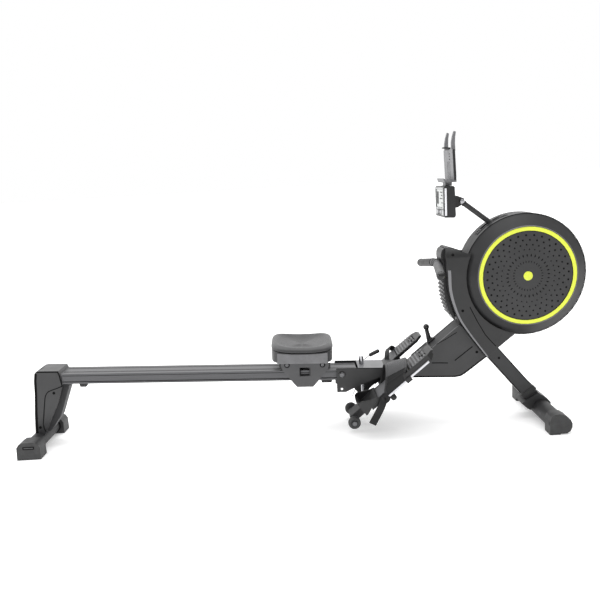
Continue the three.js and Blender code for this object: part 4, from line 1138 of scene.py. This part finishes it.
def dress_console():
    for side, sign in SIDES.items():
        # a near-white strip down the chamfer between the console's face and each side: painted
        # highlight
        trim = [(1702.0, 78.0), (1702.6, 79.4), (1704.5, 80.2), (1709.0, 80.2), (1710.0, 79.2),
                (1710.0, 78.0)]
        Solids().column([(x, sign * y) for x, y in trim], 838.5, 941).piece(
            f"console_chamfer_highlight_{side}", CONSOLE_CHAMFER_HIGHLIGHT, "console", 0.0004)
        cheek = [(1714.5, 78.2), (1714.5, 79.3), (1738.5, 79.3), (1738.5, 78.2)]
        Solids().column([(x, sign * y) for x, y in cheek], 838, 941).piece(
            f"console_side_plate_{side}", CHARCOAL, "console", 0.0006)
        Solids().turned(at(1782, sign * 19.0, 886), (0, sign, 0), [
            (0.05, -0.5), (0.05, 1.4), (3.4, 1.4), (3.8, 3.4), (7.4, 3.2), (9.4, 1.6),
            (9.8, -0.5)], 36).piece(f"console_bolt_{side}", CHROME, "console")
    bezel = Solids()
    for area in ((-73, 73, 859.6, 867.4), (-73, -62.3, 867.4, 944), (62.3, 73, 867.4, 944),
                 (-62.3, 62.3, 937.5, 944), (-73, -38, 840, 859.6), (38, 73, 840, 859.6)):
        bezel.plate(rect(*area), CONSOLE_FACE_X, CONSOLE_FACE_X + 1.1)
    bezel.piece("console_face", BEZEL, "console", 0.0005)
    bars = Solids()
    for z, wide in ((924, 44), (912, 30), (900, 50), (884, 24)):
        bars.plate(rect(-52, -52 + wide, z, z + 4), 1699.75, 1700.1)
    bars.plate(rect(18, 52, 880, 928), 1699.75, 1700.1)
    bars.piece("display_segments", CHARCOAL, "console")


def dress_tray():
    Solids().plate(rect(-73, 73, 972, 1082), -1.0, 0.6, on_tray).piece(
        "tray_front_panel", TRAY_GREY, "console", 0.0008)
    bands, slots, pads = Solids(), Solids(), Solids()
    for sign in (-1, 1):
        edge = [(-0.8, 75.4), (-0.8, 77.2), (8.6, 77.2), (8.6, 75.4)]
        bands.column([(x, sign * y) for x, y in edge], 969, 1083, on_tray)
        prong = [(1734.2, 1085), (1734.2, 1108), (1738.3, 1130), (1744.2, 1149.0),
                 (1746.0, 1148.0), (1740.0, 1129.4), (1736.0, 1108), (1736.0, 1085)]
        pads.slab(prong, sign * 51, sign * 63)
    bands.piece("tray_side_bands", BLACK, "console", 0.0006)
    for area in (*((-26, -12, z, z + 3.4) for z in (1046, 1057, 1066)),
                 *((y - 1, y + 1, 976, 1040) for y in (-20, 0, 20))):
        slots.plate(rect(*area), -1.3, -0.8, on_tray)
    slots.piece("tray_slots", GAP_AND_SHADE, "console")
    pads.piece("prong_pads", TRAY_GREY, "console", 0.0005)


def dress_arm():
    foot, head = at(1912, 0, 783), at(1782, 0, 886)
    along = (head - foot).normalized()
    Solids().turned(head - along * 0.0155, along, [
        (9.4, -3), (11.2, -2.6), (11.6, 0), (11.2, 2.6), (9.4, 3)], 36).piece(
        "arm_end_collar", BLACK, "arm")


# ---------- camera, floor and lights
CAMERA_AT = Vector((0.00865, -2.6672, 1.0207))
CAMERA_TURN = -0.0004, 0.1802, -0.0593  # yaw, pitch and roll, in radians


def build_camera():
    """A camera on the near side at console height, looking a little down."""
    yaw, pitch, roll = CAMERA_TURN
    data = bpy.data.cameras.new("camera")
    data.lens, data.sensor_width = 40.96, 36.0
    camera = bpy.data.objects.new("camera", data)
    SCENE.collection.objects.link(camera)
    ahead = Vector((
        math.sin(yaw) * math.cos(pitch), math.cos(yaw) * math.cos(pitch), -math.sin(pitch)))
    right = Vector((math.cos(yaw), -math.sin(yaw), 0))
    up = right.cross(ahead)
    columns = (right * math.cos(roll) + up * math.sin(roll),
               up * math.cos(roll) - right * math.sin(roll), -ahead)
    matrix = Matrix(columns).transposed().to_4x4()
    matrix.translation = CAMERA_AT
    camera.matrix_world = matrix
    SCENE.camera = camera


def build_floor():
    mesh = bpy.data.meshes.new("floor")
    size = 60.0
    mesh.from_pydata([(x * size, y * size, 0) for x, y in CORNERS], [], [(0, 1, 2, 3)])
    floor = bpy.data.objects.new("floor", mesh)
    SCENE.collection.objects.link(floor)
    n = Nodes("floor_paper")
    n.link(n.mixed(n.ranged(n.noise(3.0), 0.0, 1.0), (0.90, 0.90, 0.90), (0.93, 0.93, 0.93)),
           n.shader.inputs["Base Color"])
    assign(floor, n.finish(Roughness=0.9, Specular_IOR_Level=0.1,
                           Emission_Color=(1, 1, 1, 1), Emission_Strength=0.28))
    floor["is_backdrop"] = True


def area_light(name, place, target, size, power):
    data = bpy.data.lights.new(name, "AREA")
    data.shape = "RECTANGLE"
    data.size, data.size_y = size
    data.energy = power
    light = bpy.data.objects.new(name, data)
    SCENE.collection.objects.link(light)
    light.location = place
    light.rotation_euler = (Vector(target) - Vector(place)).to_track_quat("-Z", "Y").to_euler()


def build_light():
    """A pale studio: bright behind and above the machine, dimmer on the near side."""
    world = bpy.data.worlds.new("studio")
    SCENE.world = world
    world.use_nodes = True
    tree = world.node_tree
    tree.nodes.clear()
    link = tree.links.new
    output, place, split, total, room, backdrop, rays, mix = (
        tree.nodes.new("ShaderNode" + kind) for kind in (
            "OutputWorld", "TexCoord", "SeparateXYZ", "Math", "Background", "Background",
            "LightPath", "MixShader"))
    link(place.outputs["Generated"], split.inputs["Vector"])
    for socket, axis, low, high, dim, bright in (
        (0, "Y", -0.1, 0.6, 0.30, 1.35), (1, "Z", 0.05, 0.9, 0.0, 1.0),
    ):
        ramp = tree.nodes.new("ShaderNodeMapRange")
        for name, value in (("From Min", low), ("From Max", high), ("To Min", dim),
                            ("To Max", bright)):
            ramp.inputs[name].default_value = value
        link(split.outputs[axis], ramp.inputs["Value"])
        link(ramp.outputs["Result"], total.inputs[socket])
    backdrop.inputs["Color"].default_value = (1, 1, 1, 1)
    backdrop.inputs["Strength"].default_value = 1.0
    link(total.outputs["Value"], room.inputs["Strength"])
    link(rays.outputs["Is Camera Ray"], mix.inputs["Fac"])
    link(room.outputs["Background"], mix.inputs[1])
    link(backdrop.outputs["Background"], mix.inputs[2])
    link(mix.outputs["Shader"], output.inputs["Surface"])

    sun = bpy.data.lights.new("soft_sun", "SUN")
    sun.energy = 0.6
    sun.angle = math.radians(60)
    key = bpy.data.objects.new("soft_sun", sun)
    SCENE.collection.objects.link(key)
    key.rotation_euler = Vector((0.25, 0.15, -1.0)).to_track_quat("-Z", "Y").to_euler()
    area_light("top_box", (0.0, 0.2, 2.6), (0.0, 0.0, 0.3), (3.4, 1.2), 26)
    area_light("left_box", (-2.8, -0.6, 1.3), (0.6, 0.0, 0.5), (0.9, 1.5), 20)
    SCENE.view_settings.view_transform = "Standard"


# ---------- finishes of the CAD nodes
def both(name):
    return tuple(f"{name}_{side}" for side in SIDES)


# (material, width of the rounded edges in metres, segments, nodes)
FINISHES = (
    (RAIL_METAL, 0.0015, 3, ("rail",)),
    (LEG_PAINT, 0.0008, 2, ("rear_leg_tube",)),
    (DULL_PAINT, 0.0008, 2, ("diagonal_tube",)),
    (DULL_PAINT, 0.0005, 2, ("rear_stabilizer_tube", "front_stabilizer_tube")),
    (GREY_PAINT, 0.0008, 2, ("handle_bar",)),
    (PAINT, 0.0008, 2, ("front_leg_tube", "wheel_post", "console_arm", "pedal_bracket",
                        "front_beam")),
    (CARRIAGE, 0.0008, 2, ("seat_carriage",)),
    (COVER, 0.0022, 4, ("rear_end_cover",)),
    (CHARCOAL, 0.0025, 4, both("housing_shell")),
    (SPINE, 0.0015, 3, both("spine_cover")),
    (COVER, 0.0015, 3, both("lower_cover")),
    (ACCENT, 0.0012, 3, both("accent_ring")),
    (BLACK, 0.0008, 2, ("seat_base", "handle_hook_post", "strap_spool", "console_case",
                        "fan_wheel", "spine_grille", *both("heel_cup"))),
    (GLOSS_BLACK, 0.0008, 2, ("lock_grip",)),
    (CAP_AND_SHADED_GRIP_GREY, 0.0016, 3, (*both("rear_foot_cap"), *both("front_foot_cap"))),
    (STRIP_GREY, 0.0008, 2, both("console_key")),
    (RUBBER, 0.0012, 3, ("drive_belt", *both("handle_grip"), "phone_clip",
                         "upper_roller_front", "upper_roller_rear", "lower_roller")),
    (WHEEL_GREY, 0.0012, 3, both("caster")),
    (BLACK, 0.0012, 3, both("pedal")),
    (BOLT, 0.0008, 2, ("fold_pivot_bolt", "caster_axle", "wheel_axle")),
    (CHROME, 0.0008, 2, ("lock_collar", "lock_pin")),
    (TRAY_GREY, 0.001, 2, ("phone_tray",)),
    (SCREEN, 0.0004, 2, ("console_display",)),
)


build_camera()
build_floor()
build_light()
for finish, edge, segments, nodes in FINISHES:
    for node in nodes:
        dress(node, finish, edge, segments)
dress_drum()
grommet()
dress_spine()
dress_rail()
dress_rear()
dress_front_leg()
dress_casters()
seat_pad()
dress_carriage()
dress_beam()
dress_lock()
dress_hook_post()
foot_straps()
dress_pedals()
dress_handle()
pull_strap()
dress_console()
dress_tray()
dress_arm()

boxes = {"cad": CAD_BOX, "visual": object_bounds()}
{name: [list(corner) for corner in box] for name, box in boxes.items()}
